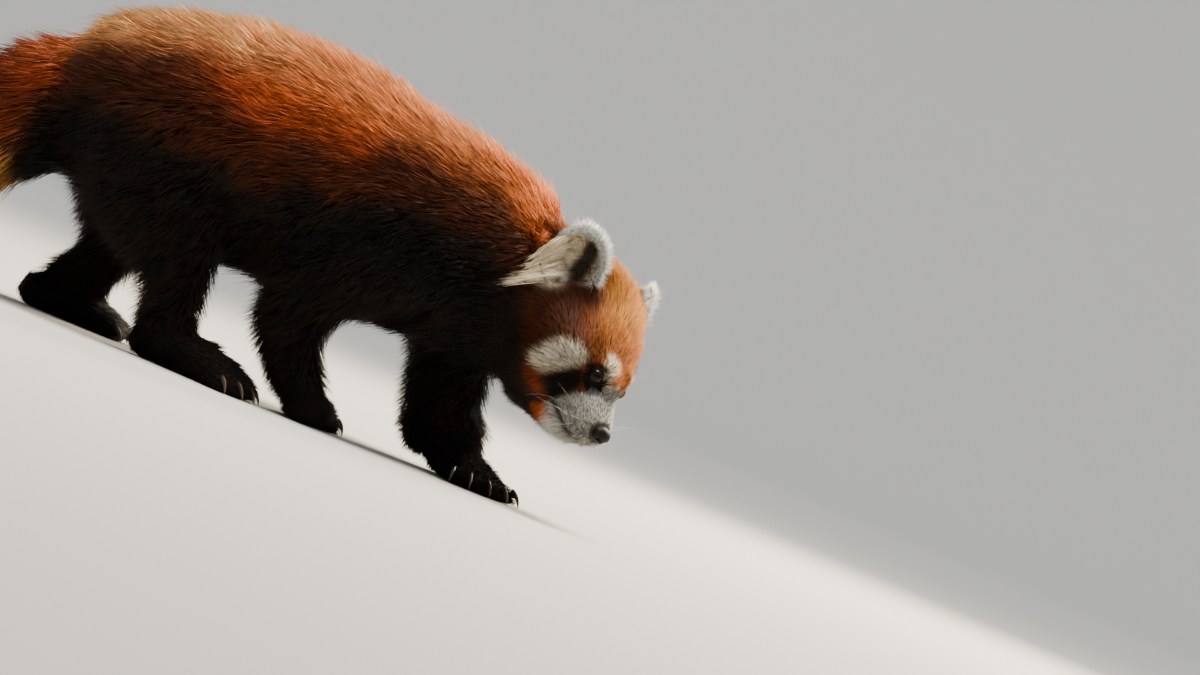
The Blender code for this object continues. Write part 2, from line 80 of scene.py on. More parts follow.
def ramp(value, low, high):
    t = np.clip((value - low) / (high - low), 0.0, 1.0)
    return t * t * (3 - 2 * t)


def mixIn(base, colour, amount):
    return base + (colour - base) * np.clip(amount, 0, 1)[:, None]


def wave(points, size, seed, count=5):  # a smooth, wandering value between about -1 and 1
    own = np.random.default_rng(seed)
    turns = unit(own.normal(size=(count, points.shape[1])))
    turns = turns * own.uniform(0.7, 1.5, (count, 1)) * (math.tau / size)
    return np.sin(points @ turns.T + own.uniform(0, math.tau, count)).sum(1) / count ** 0.5 / 0.9


def capsule(points, start, end, startRadius, endRadius):  # distance to a rounded stroke, negative inside
    a, b = np.array(start), np.array(end)
    along = np.clip(((points - a) @ (b - a)) / max(((b - a) ** 2).sum(), 1e-9), 0, 1)
    reach = np.linalg.norm(points - a - along[:, None] * (b - a), axis=1)
    return reach - (startRadius + (endRadius - startRadius) * along)


def bell(value, width, power=2):  # one in the middle, falling to nothing past the width
    return np.exp(-(value / width) ** power)


def near(points, spot, reach, power):
    return bell(np.linalg.norm(points - np.array(spot), axis=1), reach, power)


def inside(distance, soft):
    return ramp(-distance, -soft, soft)


def smoothField(values, edges, rounds, keep=0.0):
    values = values.reshape(len(values), -1).astype(float)
    ends = np.concatenate([edges[:, 0], edges[:, 1]])
    others = np.concatenate([edges[:, 1], edges[:, 0]])
    count = np.maximum(np.bincount(ends, minlength=len(values)), 1)[:, None]
    for _ in range(rounds):
        total = np.stack([np.bincount(ends, c[others], len(values)) for c in values.T], 1)
        values = values * keep + (total / count) * (1 - keep)
    return values.squeeze()


def readVectors(items, name, width=3, kind=np.float32):
    out = np.zeros(len(items) * width, kind)
    items.foreach_get(name, out)
    out = out.reshape(-1, width)
    return out.astype(float) if kind is np.float32 else out


def writeValues(items, name, values, kind=np.float32):
    items.foreach_set(name, values.astype(kind).ravel())


def paint(mesh, colour):
    layer = mesh.color_attributes.new(name="coat", type="FLOAT_COLOR", domain="POINT")
    opaque = np.ones((len(colour), 1))
    writeValues(layer.data, "color", np.concatenate([np.clip(colour, 0.001, 1), opaque], 1))


def place(thing, slot, *nodes):  # rides on the body and stands for its solids
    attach(thing, "root")
    if nodes:
        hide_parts(*nodes)


def newObject(name, data, *materials):
    made = bpy.data.objects.new(name, data)
    bpy.context.scene.collection.objects.link(made)
    for material in materials:
        data.materials.append(material)
    return made


def fromBmesh(name, bm, *materials):
    mesh = bpy.data.meshes.new(name)
    bm.to_mesh(mesh)
    bm.free()
    mesh.shade_smooth()
    return newObject(name, mesh, *materials)


def settled(thing):  # applies the modifiers
    bpy.context.view_layer.update()
    mesh = bpy.data.meshes.new_from_object(thing.evaluated_get(bpy.context.evaluated_depsgraph_get()))
    thing.modifiers.clear()
    thing.data = mesh


# The head's frame, and the shift from the animal's own frame to the solids' metres

head = {
    "noseTip": (51.0, -5.4, 8.15), "yaw": -39.5, "pitch": 38.0, "roll": -9.0,
    "eye": (-4.58, 2.15, 2.0), "eyeRadius": 0.68, "eyeFacing": (0.74, 0.30, 0.60),
    "nose": (-0.66, -0.02, 0.0), "noseRadii": (0.76, 0.76, 1.07),
}


def headMatrix():
    turn = Matrix.Rotation(math.radians(head["yaw"]), 3, "Z")
    turn = turn @ Matrix.Rotation(math.radians(head["pitch"]), 3, "Y")
    turn = turn @ Matrix.Rotation(math.radians(head["roll"]), 3, "X")
    snout, left, up = turn.col
    made = Matrix((snout, up, left)).transposed().to_4x4()
    made.translation = Vector(head["noseTip"])
    return made


headFrame = headMatrix()
headTurn = np.array(headFrame.to_3x3())
headTip = np.array(head["noseTip"])
eyeLow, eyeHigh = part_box("eye_right")
eyeRight = headFrame @ Vector((head["eye"][0], head["eye"][1], -head["eye"][2]))
shift = np.array((eyeLow + eyeHigh) / 2) - np.array(eyeRight) * cm
toMetres = Matrix.Translation(Vector(shift)) @ Matrix.Scale(cm, 4)


def toHead(points):
    return (points - headTip) @ headTurn


def fromHead(points):
    return points @ headTurn.T + headTip


def fold(points):  # both sides of the head on its left side
    return points * [1, 1, 0] + np.abs(points) * [0, 0, 1]


def metres(points):
    return points * cm + shift


def centimetres(points):
    return (points - shift) / cm


camera = {"place": (0.475, -4.0, 0.1594), "roll": 22.5, "sensor": 36.0, "lens": 144.0, "clip": (0.05, 60)}


def makeCamera():
    data = bpy.data.cameras.new("camera")
    data.sensor_width, data.lens = camera["sensor"], camera["lens"]
    data.clip_start, data.clip_end = camera["clip"]
    made = newObject("camera", data)
    made.rotation_mode = "QUATERNION"
    level = Vector((0, 1, 0)).to_track_quat("-Z", "Y").to_matrix()
    rolled = level @ Matrix.Rotation(math.radians(camera["roll"]), 3, "Z")
    made.rotation_quaternion = rolled.to_quaternion()
    made.location = Vector(camera["place"]) + Vector(shift)
    bpy.context.scene.camera = made


makeCamera()


# Materials

def addNode(tree, kind, settings=None, **links):
    node = tree.nodes.new(kind)
    for key, value in (settings or {}).items():
        if hasattr(node, key):
            setattr(node, key, value)
        else:
            node.inputs[key].default_value = value
    for socket, source in links.items():
        tree.links.new(source, node.inputs[socket.replace("_", " ")])
    return node


def newMaterial(name, roughness, **sockets):
    material = bpy.data.materials.new(name)
    material.use_nodes = True
    shader = material.node_tree.nodes["Principled BSDF"]
    shader.inputs["Roughness"].default_value = roughness
    for key, value in sockets.items():
        shader.inputs[key.replace("_", " ")].default_value = value
    return material, material.node_tree, shader


def roughen(tree, shader, strength, distance, height):
    bump = addNode(tree, "ShaderNodeBump", {"Strength": strength, "Distance": distance}, Height=height)
    tree.links.new(bump.outputs["Normal"], shader.inputs["Normal"])


# Colours from the piece's own markings, made lighter and darker by a fine grain on its own coordinates
def grained(tree, shader, scale, dark, light):
    colour = addNode(tree, "ShaderNodeAttribute", {"attribute_name": "coat"})
    where = addNode(tree, "ShaderNodeTexCoord")
    grain = addNode(tree, "ShaderNodeTexNoise", {"Scale": scale, "Detail": 2.0},
                    Vector=where.outputs["Object"])
    settings = {"From Min": 0.3, "From Max": 0.7, "To Min": dark, "To Max": light}
    tone = addNode(tree, "ShaderNodeMapRange", settings, Value=grain.outputs["Fac"])
    toned = addNode(tree, "ShaderNodeVectorMath", {"operation": "SCALE"},
                    Vector=colour.outputs["Color"], Scale=tone.outputs["Result"])
    tree.links.new(toned.outputs["Vector"], shader.inputs["Base Color"])
    return grain


# Keratin hair, weathered: soft gloss along each lock, small changes of tone between locks 3 mm apart
def hairMaterial():
    material, tree, shader = newMaterial("keratinHair", 0.5, IOR=1.55, Specular_IOR_Level=0.14)
    grain = grained(tree, shader, 330.0, 0.84, 1.14)
    rough = addNode(tree, "ShaderNodeMapRange", {"To Min": 0.42, "To Max": 0.64},
                    Value=grain.outputs["Fac"])
    tree.links.new(rough.outputs["Result"], shader.inputs["Roughness"])
    return material


# Hide under the coat: matt, dark with underfur, with a fluff about 2 mm across
def skinMaterial():
    material, tree, shader = newMaterial("hideUnderFur", 0.75, IOR=1.4, Specular_IOR_Level=0.2)
    grain = grained(tree, shader, 480.0, 0.6, 1.0)
    roughen(tree, shader, 0.5, 0.0006, grain.outputs["Fac"])
    return material


hair = hairMaterial()
hide = skinMaterial()


# Skin: the flesh solids in one surface, sunk by the depth of the coat

skinForm = {
    "voxel": 0.34, "closing": 0.04, "softening": 7, "fieldRounds": 24, "combRounds": 20,
    "relaxRounds": 6, "footGive": 0.35, "faceHeld": 0.75, "floorGap": 0.004,
    "shade": 0.5, "earShade": 0.7,  # the skin's colour, as a share of the marking's
    # what fills the sockets in the flesh: past the eye, a share of the nose, and a ball under each ear
    "eyeSocket": 0.1, "noseSocket": 0.9, "earSocket": ((0, -0.5, -2.5), (1.9, 1.2, 1.3)),
    # depth of the coat, length of the hair, lift in degrees, tufts to a square centimetre, width in mm
    "trunk": (1.9, 3.2, 38, 34, 0.9), "neck": (1.7, 2.8, 36, 38, 0.85), "tail": (2.3, 3.6, 42, 32, 1.1),
    "upperLeg": (1.3, 2.5, 33, 36, 0.95), "lowerLeg": (0.75, 1.6, 30, 50, 0.85),
    "foot": (0.28, 1.0, 20, 70, 0.75), "head": (0.5, 1.2, 26, 90, 0.7), "ear": (0.0, 0.65, 30, 150, 0.42),
}
feet = {
    "right_hind": {"heel": (12.2, -5.0), "heading": -16.0, "length": 11.4, "width": 5.5},
    "left_hind": {"heel": (0.9, 5.3), "heading": 12.0, "length": 10.0, "width": 5.2},
    "right_fore": {"heel": (26.9, -6.6), "heading": 80.0, "length": 7.6, "width": 5.0},
    "left_fore": {"heel": (39.2, 7.4), "heading": -60.0, "length": 9.4, "width": 6.6},
}
tailLine = np.array((
    (2.5, 0.0, 19.2), (-2.0, 0.0, 16.4), (-6.2, 0.2, 12.6), (-10.8, 0.7, 9.2), (-16.2, 1.5, 7.4),
    (-21.6, 2.5, 6.9), (-27.0, 3.7, 7.2), (-31.5, 4.9, 8.0), (-34.4, 5.8, 8.7),
))
ears = {
    "base": (-10.7, 4.7, 4.9), "radii": (2.2, 1.1, 2.7), "wall": 0.26, "rimTurn": 0.32, "narrow": 0.2,
    "ear_right": {"side": -1, "axis": (-0.80, 0.50, 0.34), "facing": (0.5, 0.0, 0.86), "lift": 2.45},
    "ear_left": {"side": 1, "axis": (-0.80, 0.32, 0.43), "facing": (0.70, 0.35, 0.70), "lift": 1.4},
}
earNodes = ["ear_right", "ear_left"]
apart = ("eye_", "ear_", "nose")
fleshNodes = sorted(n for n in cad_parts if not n.startswith(apart) and "claw" not in n)


def kindOf(node):
    if node.startswith(("trunk", "neck", "head", "tail")):
        return node.split("_")[0]
    if node.endswith(("thigh", "_arm")):
        return "upperLeg"
    return "foot" if node.endswith(("foot", "paw")) else "lowerLeg"


def earMatrix(name):
    ear = ears[name]
    flip = Vector((1, 1, ear["side"]))
    up = (Vector(ear["axis"]) * flip).normalized()
    facing = Vector(ear["facing"]) * flip
    facing = (facing - up * facing.dot(up)).normalized()
    across = facing.cross(up)
    local = Matrix((across, facing, up)).transposed().to_4x4()
    local.translation = Vector(ears["base"]) * flip + up * ear["lift"]
    return headFrame @ local


def eyeMatrix(side):
    return headFrame @ Matrix.Translation((head["eye"][0], head["eye"][1], head["eye"][2] * side))


def addBall(bm, matrix, radii):
    full = toMetres @ matrix @ Matrix.Diagonal((*radii, 1))
    bmesh.ops.create_icosphere(bm, subdivisions=3, radius=1.0, matrix=full)


# Closes the thin cuts between the solids, fills the sockets and makes one surface. The soles aren't moved.
def joinFlesh():
    bm = bmesh.new()
    for name in fleshNodes:
        one = bmesh.new()
        one.from_mesh(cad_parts[name].data)
        bmesh.ops.remove_doubles(one, verts=one.verts, dist=1e-6)
        one.normal_update()
        for vert in one.verts:
            if vert.co.z > 0.2 * cm:
                vert.co += vert.normal * skinForm["closing"] * cm
        mesh = bpy.data.meshes.new("part")
        one.to_mesh(mesh)
        one.free()
        bm.from_mesh(mesh)
    for side in (-1, 1):
        addBall(bm, eyeMatrix(side), (head["eyeRadius"] + skinForm["eyeSocket"],) * 3)
    noseRadii = [r * skinForm["noseSocket"] for r in head["noseRadii"]]
    addBall(bm, headFrame @ Matrix.Translation(head["nose"]), noseRadii)
    earPlace, earRadii = skinForm["earSocket"]
    for name in earNodes:
        addBall(bm, earMatrix(name) @ Matrix.Translation(earPlace), earRadii)
    made = fromBmesh("skin", bm)
    shell = made.modifiers.new("shell", "REMESH")
    shell.mode, shell.voxel_size = "VOXEL", skinForm["voxel"] * cm
    soften = made.modifiers.new("soften", "SMOOTH")
    soften.factor, soften.iterations = 0.5, skinForm["softening"]
    settled(made)
    return made


# A thin cup: the front of a ball pressed back against its rear wall, with a rounded rim and a narrow foot
def makeEarShells():
    bm = bmesh.new()
    wide, deep, tall = ears["radii"]
    for name in earNodes:
        verts = bmesh.ops.create_icosphere(bm, subdivisions=5, radius=1.0)["verts"]
        for vert in verts:
            across, facing, up = vert.co
            step = max(-1.0, min(1.0, facing / ears["rimTurn"])) * ears["wall"] / 2
            narrow = 1 - ears["narrow"] * max(0.0, -up)
            vert.co = (across * wide * narrow, step - facing ** 2 * deep, up * tall)
        bmesh.ops.transform(bm, matrix=toMetres @ earMatrix(name), verts=verts)
    return fromBmesh("earShells", bm)


def addEars(skin):
    shells = makeEarShells()
    union = skin.modifiers.new("ears", "BOOLEAN")
    union.operation, union.solver, union.object = "UNION", "EXACT", shells
    settled(skin)
    points = [v.co for v in shells.data.vertices]
    tree = BVHTree.FromPolygons(points, [p.vertices for p in shells.data.polygons])
    bpy.data.objects.remove(shells, do_unlink=True)
    return tree


# Finer faces where the face needs them, in steps that close in on the nose and the eyes
faceSteps = (
    {"middle": (-3.2, 0, 0), "reach": 7.5, "eye": 2.2},
    {"middle": (-1.8, -0.6, 0), "reach": 3.2, "eye": 1.9},
    {"middle": (-0.7, 0, 0), "reach": 1.3, "eye": 1.25},
)
faceReach = 6.5  # the face, from the middle of the muzzle for the smoothing, and behind the nose's tip


def refineFace(skin):
    for step in faceSteps:
        bm = bmesh.new()
        bm.from_mesh(skin.data)
        h = toHead(centimetres(np.array([f.calc_center_median() for f in bm.faces])))
        wanted = np.linalg.norm(h - step["middle"], axis=1) < step["reach"]
        wanted |= np.linalg.norm(fold(h) - head["eye"], axis=1) < step["eye"]
        finer = {edge for face, found in zip(bm.faces, wanted) if found for edge in face.edges}
        bmesh.ops.subdivide_edges(bm, edges=list(finer), cuts=1, use_grid_fill=True)
        h = toHead(centimetres(np.array([v.co for v in bm.verts])))
        close = np.linalg.norm(h - faceSteps[0]["middle"], axis=1) < faceReach
        smoothed = [vert for vert, found in zip(bm.verts, close) if found]
        everyWay = {"use_axis_x": True, "use_axis_y": True, "use_axis_z": True}
        bmesh.ops.smooth_vert(bm, verts=smoothed, factor=0.5, **everyWay)
        bmesh.ops.triangulate(bm, faces=[face for face in bm.faces if len(face.verts) > 4])
        bm.to_mesh(skin.data)
        bm.free()


def solidsTree():
    points, faces, owners = [], [], []
    for index, name in enumerate(fleshNodes):
        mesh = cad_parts[name].data
        start = len(points)
        points += [v.co.copy() for v in mesh.vertices]
        faces += [[start + i for i in p.vertices] for p in mesh.polygons]
        owners += [index] * len(mesh.polygons)
    return BVHTree.FromPolygons(points, faces), owners


skin = joinFlesh()
earTree = addEars(skin)
refineFace(skin)
mesh = skin.data
edges = readVectors(mesh.edges, "vertices", 2, np.int32)
outer = centimetres(readVectors(mesh.vertices, "co"))
normals = readVectors(mesh.vertex_normals, "vector")
tree, owners = solidsTree()
owner = np.array([owners[tree.find_nearest(v.co)[2]] for v in mesh.vertices])
ownerName = np.array(fleshNodes)[owner]
kinds = np.array([kindOf(n) for n in fleshNodes])[owner]
kinds[np.array([earTree.find_nearest(v.co)[3] for v in mesh.vertices]) < 0.03 * cm] = "ear"
h = toHead(outer)
folded = fold(h)
print("skin joined:", len(mesh.polygons), "faces,", int((kinds == "ear").sum()), "ear points")


# The lie of the coat at each point of the skin, before it is smoothed
lie = {
    "trunk": (-1.0, 0.0, -0.12), "flankDroop": 0.18,
    "upperLeg": (-0.62, 0.0, -0.8), "lowerLeg": (-0.25, 0.0, -1.0),
    "crown": (-1.0, 0.1, 0.16), "cheek": (-0.8, -0.55, 0.35), "jaw": (-0.45, -0.9, 0.2),
    "eyeReach": 1.5, "eyePull": 1.6, "footDroop": 0.25,
    # from where to where on the head: down from the nose's tip, or back from it
    "cheekDown": (-2.6, 0.2), "cheekBack": (3.4, 5.2), "jawDown": (1.6, 2.6), "napeBack": (7.0, 10.5),
}


def lieOfCoat(points, out):
    comb = np.tile(lie["trunk"], (len(points), 1))
    comb[:, 2] -= lie["flankDroop"] * np.abs(out[:, 1])
    comb[kinds == "upperLeg"] = lie["upperLeg"]
    comb[kinds == "lowerLeg"] = lie["lowerLeg"]
    for leg, foot in feet.items():
        here = (kinds == "foot") & np.char.startswith(ownerName, leg)
        angle = math.radians(foot["heading"])
        comb[here] = [math.cos(angle), math.sin(angle), -lie["footDroop"]]
    tail = kinds == "tail"
    middle = (tailLine[:-1] + tailLine[1:]) / 2
    nearest = np.argmin(((points[tail][:, None] - middle) ** 2).sum(2), 1)
    comb[tail] = unit(np.diff(tailLine, axis=0))[nearest]
    onHead = kinds == "head"
    flow = np.tile(lie["crown"], (onHead.sum(), 1))
    spot = folded[onHead]
    cheek = ramp(-spot[:, 1], *lie["cheekDown"]) * ramp(-spot[:, 0], *lie["cheekBack"])
    flow += cheek[:, None] * (np.array(lie["cheek"]) - flow)
    jaw = ramp(-spot[:, 1], *lie["jawDown"])
    flow += jaw[:, None] * (np.array(lie["jaw"]) - flow)
    away = spot - head["eye"]
    pull = bell(np.linalg.norm(away, axis=1), lie["eyeReach"], 4) * lie["eyePull"]
    flow += pull[:, None] * unit(away)
    flow[:, 2] *= np.sign(h[onHead][:, 2])
    nape = ramp(-spot[:, 0], *lie["napeBack"])[:, None]
    comb[onHead] = unit(flow @ headTurn.T) * (1 - nape) + np.array(lie["trunk"]) * nape
    return comb


def tangent(rows, out):
    return unit(rows - out * (rows * out).sum(1, keepdims=True))


headCoat = {  # the same five values as in skinForm, on the face, at the nape and under the jaw
    "short": np.array((0.17, 0.47, 26, 185, 0.42)), "full": np.array((0.92, 1.82, 37, 75, 0.78)),
    "fringe": np.array((0.45, 1.15, 60, 130, 0.48)),
    "fullBack": (3.2, 9.5), "cheekDown": (-2.2, 1.0), "cheekBack": (3.8, 6.0), "cheekFull": 0.85,
    "jawDown": (1.9, 2.7), "jawBack": (0.4, 1.4), "fringeFull": 0.9,
    "bridgeAt": (-4.0, 2.8, 0.5), "bridgeReach": 1.1, "bridgeLonger": 0.4, "bridgeLift": 22,
}


# Short on the muzzle and round the eyes, full on the cheeks, crown and nape, standing out under the jaw
def headFields(f):
    back, down = -f[:, 0], -f[:, 1]
    cheek = ramp(down, *headCoat["cheekDown"]) * ramp(back, *headCoat["cheekBack"])
    jaw = ramp(down, *headCoat["jawDown"]) * ramp(back, *headCoat["jawBack"])
    full = np.maximum(ramp(back, *headCoat["fullBack"]), cheek * headCoat["cheekFull"])
    rows = headCoat["short"] + (headCoat["full"] - headCoat["short"]) * full[:, None]
    fringe = headCoat["fringe"]
    rows += (fringe - rows) * (jaw * (1 - cheek))[:, None] * headCoat["fringeFull"]
    bridge = near(f, headCoat["bridgeAt"], headCoat["bridgeReach"], 2)
    rows[:, 1] += headCoat["bridgeLonger"] * bridge
    rows[:, 2] += headCoat["bridgeLift"] * bridge
    return rows


# A row for each point of the skin: depth, length, lift, density and width of the coat, as in skinForm
onHead = kinds == "head"
table = np.array([skinForm[k] for k in kinds], float)
face = headFields(folded)
table[onHead] = face[onHead]
table[:, 0] *= np.where(kinds == "foot", 1 - 0.5 * ramp(outer[:, 2], 3.2, 0.6), 1.0)
table = smoothField(table, edges, skinForm["fieldRounds"], 0.2)
nearFace = onHead & (h[:, 0] > -faceReach)
table[nearFace] = face[nearFace]
table = smoothField(table, edges, 4)

# The coat gives way round each ear, and lies short and flat where the long locks leave it
aroundEars = {
    "reach": 3.3, "sink": 0.3, "shorter": 0.2, "flatter": 0.4, "lockRoot": (2.4, 0.9, -1.0),
    "lockReach": 1.7, "lockShorter": 0.62, "lockFlatter": 0.6, "creamReach": 1.45,
    "rimLonger": 0.25, "rimLift": 34,
}
earMiddles = {name: np.array(earMatrix(name).translation) for name in earNodes}
earGap = np.min([np.linalg.norm(outer - spot, axis=1) for spot in earMiddles.values()], axis=0)
earClose = bell(earGap, aroundEars["reach"], 4) * (kinds != "ear")
table[:, 0] += earClose * aroundEars["sink"]
table[:, 1] *= 1 - aroundEars["shorter"] * earClose
table[:, 2] *= 1 - aroundEars["flatter"] * earClose
lockRoots = []
for name in earNodes:
    beside, ahead, low = aroundEars["lockRoot"]
    lockRoots.append(earMatrix(name) @ Vector((ears[name]["side"] * beside, ahead, low)))
    under = near(outer, lockRoots[-1], aroundEars["lockReach"], 4) * (kinds != "ear")
    table[:, 1] *= 1 - aroundEars["lockShorter"] * under
    table[:, 2] *= 1 - aroundEars["lockFlatter"] * under
table[kinds == "ear", 0] = 0
table[:, 0] *= 1 - 0.96 * ramp(0.5 - outer[:, 2], 0.0, 0.4)  # soles stay on the floor
comb = tangent(lieOfCoat(outer, normals), normals)
comb = tangent(smoothField(comb, edges, skinForm["combRounds"], 0.2), normals)


# Eyelids, mouth, the cleft under the nose and the bridge, all on the sunken skin
lids = {
    "high": 53, "wide": 60, "thick": 0.05, "band": 1.45, "blend": 2.5, "tilt": 16, "edge": (0.92, 1.06),
    "creaseAt": 1.7, "creaseWidth": 0.18, "creaseDepth": 0.05,
}
faceForm = {
    "mouthWidth": 0.13, "mouthDepth": 0.2, "lipAt": 0.3, "lipWidth": 0.16, "lipHeight": 0.05,
    "cleftWidth": 0.09, "cleftDepth": 0.14,
    "bridgeAt": (-3.9, 2.6, 0.5), "bridgeReach": 1.15, "bridgeHeight": 0.6,
}
mouthLine = np.array((
    (-0.72, -1.45, 0.0), (-0.81, -1.62, 0.6), (-1.2, -1.93, 1.15), (-1.75, -2.1, 1.42),
    (-2.35, -2.18, 1.65), (-2.95, -2.05, 2.05), (-3.65, -1.92, 2.4), (-4.15, -1.95, 2.8),
))


def eyeAxes(side):
    facing = unit(np.array(head["eyeFacing"]) * [1, 1, side])
    upward = np.array([-0.25, 1.0, 0.12 * side])
    upward = unit(upward - facing * (upward @ facing))
    across = np.cross(upward, facing)
    angle = math.radians(lids["tilt"]) * -side
    turned = across * math.cos(angle) + upward * math.sin(angle)
    return facing, turned, np.cross(facing, turned)


# How far round the eye's opening a point lies: below one is inside the opening
def lidReach(h, side):
    away = h - np.array(head["eye"]) * [1, 1, side]
    facing, across, upward = eyeAxes(side)
    bearing = unit(away)
    angle = np.degrees(np.arccos(np.clip(bearing @ facing, -1, 1)))
    flat = unit(np.stack([away @ across, away @ upward], 1))
    limit = 1 / np.sqrt((flat[:, 0] / lids["wide"]) ** 2 + (flat[:, 1] / lids["high"]) ** 2)
    return angle / limit, np.linalg.norm(away, axis=1), bearing


def noseReach(h):  # one on the surface of the nose's leather
    return np.linalg.norm((h - np.array(head["nose"])) / np.array(head["noseRadii"]), axis=1)


def mouthDistance(h):
    f = fold(h)
    return np.min([capsule(f, a, b, 0, 0) for a, b in zip(mouthLine, mouthLine[1:])], axis=0)


def shapeFace(points, out):
    h = toHead(points)
    f = fold(h)
    inward = -(out @ headTurn)
    behind = ramp(h[:, 0], -4.6, -3.8)
    mouth, form = mouthDistance(h), faceForm
    groove = bell(mouth, form["mouthWidth"]) * form["mouthDepth"] * behind
    lips = bell(mouth - form["lipAt"], form["lipWidth"]) * form["lipHeight"] * behind
    cleft = bell(h[:, 2], form["cleftWidth"]) * ramp(h[:, 0], -1.4, -0.6) * ramp(-h[:, 1], 0.4, 0.8)
    cleft = cleft * form["cleftDepth"]
    bridge = near(f, form["bridgeAt"], form["bridgeReach"], 2) * form["bridgeHeight"]
    h = h + inward * (groove - lips + cleft - bridge)[:, None]
    radius = head["eyeRadius"]
    for side in (-1, 1):
        share, reach, bearing = lidReach(h, side)
        lid = ramp(share, *lids["edge"]) * (radius * 0.2 + lids["thick"])
        target = radius * 0.8 + lid  # inside the eyeball, or over it
        crease = bell(share - lids["creaseAt"], lids["creaseWidth"]) * lids["creaseDepth"]
        hold = np.maximum(ramp(-share, -1.45, -1.2), ramp(-reach, -1.5, -1.0))
        amount = ramp(-share, -lids["blend"], -lids["band"]) * hold * (reach < 2.0)
        h = h + bearing * ((target - reach - crease) * amount)[:, None]
    return fromHead(h)


sunk = outer - normals * table[:, :1]
relax = smoothField(sunk, edges, skinForm["relaxRounds"], 0.3)
give = np.where(kinds == "foot", skinForm["footGive"], np.where(kinds == "ear", 0.0, 1.0))
give = give * (1 - skinForm["faceHeld"] * nearFace)
sunk = sunk + (relax - sunk) * give[:, None]
sunk[:, 2] = np.maximum(sunk[:, 2], skinForm["floorGap"])
sunk = shapeFace(sunk, normals)
writeValues(mesh.vertices, "co", metres(sunk))
mesh.update()
mesh.shade_smooth()
print("skin sunk and face shaped")


# Markings, the same for skin and coat

pelt = {name: linear(code) for name, code in {
    "gold": "#FBB876", "orange": "#D2641E", "rust": "#B44A1C", "redRust": "#983414", "brown": "#43200D",
    "umber": "#1F130C", "black": "#0B0908", "buff": "#D9AE76", "cream": "#F3E5CA", "white": "#F1F3EA",
    "grey": "#8F8D84", "rim": "#7A3414", "forehead": "#8C4C10", "crown": "#B67C24",
    "ringDark": "#6B2B10", "ringPale": "#B9803F",
}.items()}
# where the black of the belly and legs begins, drawn higher up the flank than the fur's own edge as painted
# shade of the lower flank
blackAndShadeLine = np.array((
    (-4, 12.5), (-1, 17.4), (2, 18.1), (6, 17.6), (10, 17.3), (16, 16.9), (20, 17.3), (24, 18.3),
    (28, 19.7), (32, 20.2), (35, 19.6), (38, 18.0), (41, 14.0), (44, 11.0), (60, 9.0),
))
crest = np.array(((-4, 20.5), (0, 24.3), (7, 27.2), (14, 28.3), (30, 26.5), (42, 21.5)))


# Colours of the pelt washed over one another, from the first row to the last, each by its own amount
def washed(points, ground, washes):
    base = np.tile(pelt[ground], (len(points), 1))
    for name, amount in washes:
        base = mixIn(base, pelt[name], amount)
    return base


def bodyColour(p):
    x, z = p[:, 0], p[:, 2]
    above = z - np.interp(x, *blackAndShadeLine.T) + wave(p, 6.5, 3) * 0.4 + wave(p, 2.8, 4) * 0.35
    top = z - np.interp(x, *crest.T)
    streak = wave(p * [0.35, 1, 1], 1.5, 9) * 0.6 + wave(p, 4.0, 10) * 0.4
    goldTipsAndBacklight = (1 - 0.7 * ramp(x, 8, 21)) * ramp(x, -6.0, -1.5)  # palest from the rump to the ribs: golden tips, with painted light of the back lit from above and behind
    patch = wave(p, 7.5, 8) * 0.45 + wave(p, 3.1, 6) * 0.4
    return washed(p, "rust", (
        ("redRust", ramp(-x, -9, -2) * 0.7 + 0.3),  # hindquarters
        ("orange", bell(x - 19, 6.5) * ramp(z, 20.5, 25) * 0.6),  # over the ribs
        # towards the crest: the coat's golden tips, drawn paler as painted light on the top of the back
        ("orange", ramp(top, -4.5, -1.5) * 0.5),
        ("gold", ramp(top, -4.6, 0.3) * (0.7 + 0.34 * streak) * goldTipsAndBacklight),
        ("orange", ramp(x, 29, 36) * ramp(above, 1.0, 5.0) * 0.85),  # shoulders and neck
        ("brown", ramp(-x, -13, -7) * ramp(-top, 0.6, 3.6) * 0.7),  # hips
        ("brown", ramp(patch, 0.1, 1.3) * 0.4 * ramp(-top, -0.6, 2.0)),
        # brown, umber and black below that line: the black belly and legs, and painted shade on the lower
        # flank
        ("brown", ramp(-above, -7.4, -2.2) * 0.94),
        ("umber", ramp(-above, -1.4, 1.0)),
        ("black", ramp(-above, 0.5, 3.0)),
    ))


tailSteps = np.concatenate([[0], np.cumsum(np.linalg.norm(np.diff(tailLine, axis=0), axis=1))])
tailRings = {"pitch": 5.1, "pale": 0.34, "start": 8.6, "darkTip": 35.0}


def tailPlace(p):  # distance along the tail's middle line
    best, place = np.full(len(p), 1e9), np.zeros(len(p))
    for a, b, s in zip(tailLine, tailLine[1:], tailSteps):
        t = np.clip(((p - a) @ (b - a)) / ((b - a) ** 2).sum(), 0, 1)
        d = np.linalg.norm(p - a - t[:, None] * (b - a), axis=1)
        place = np.where(d < best, s + t * np.linalg.norm(b - a), place)
        best = np.minimum(best, d)
    return place


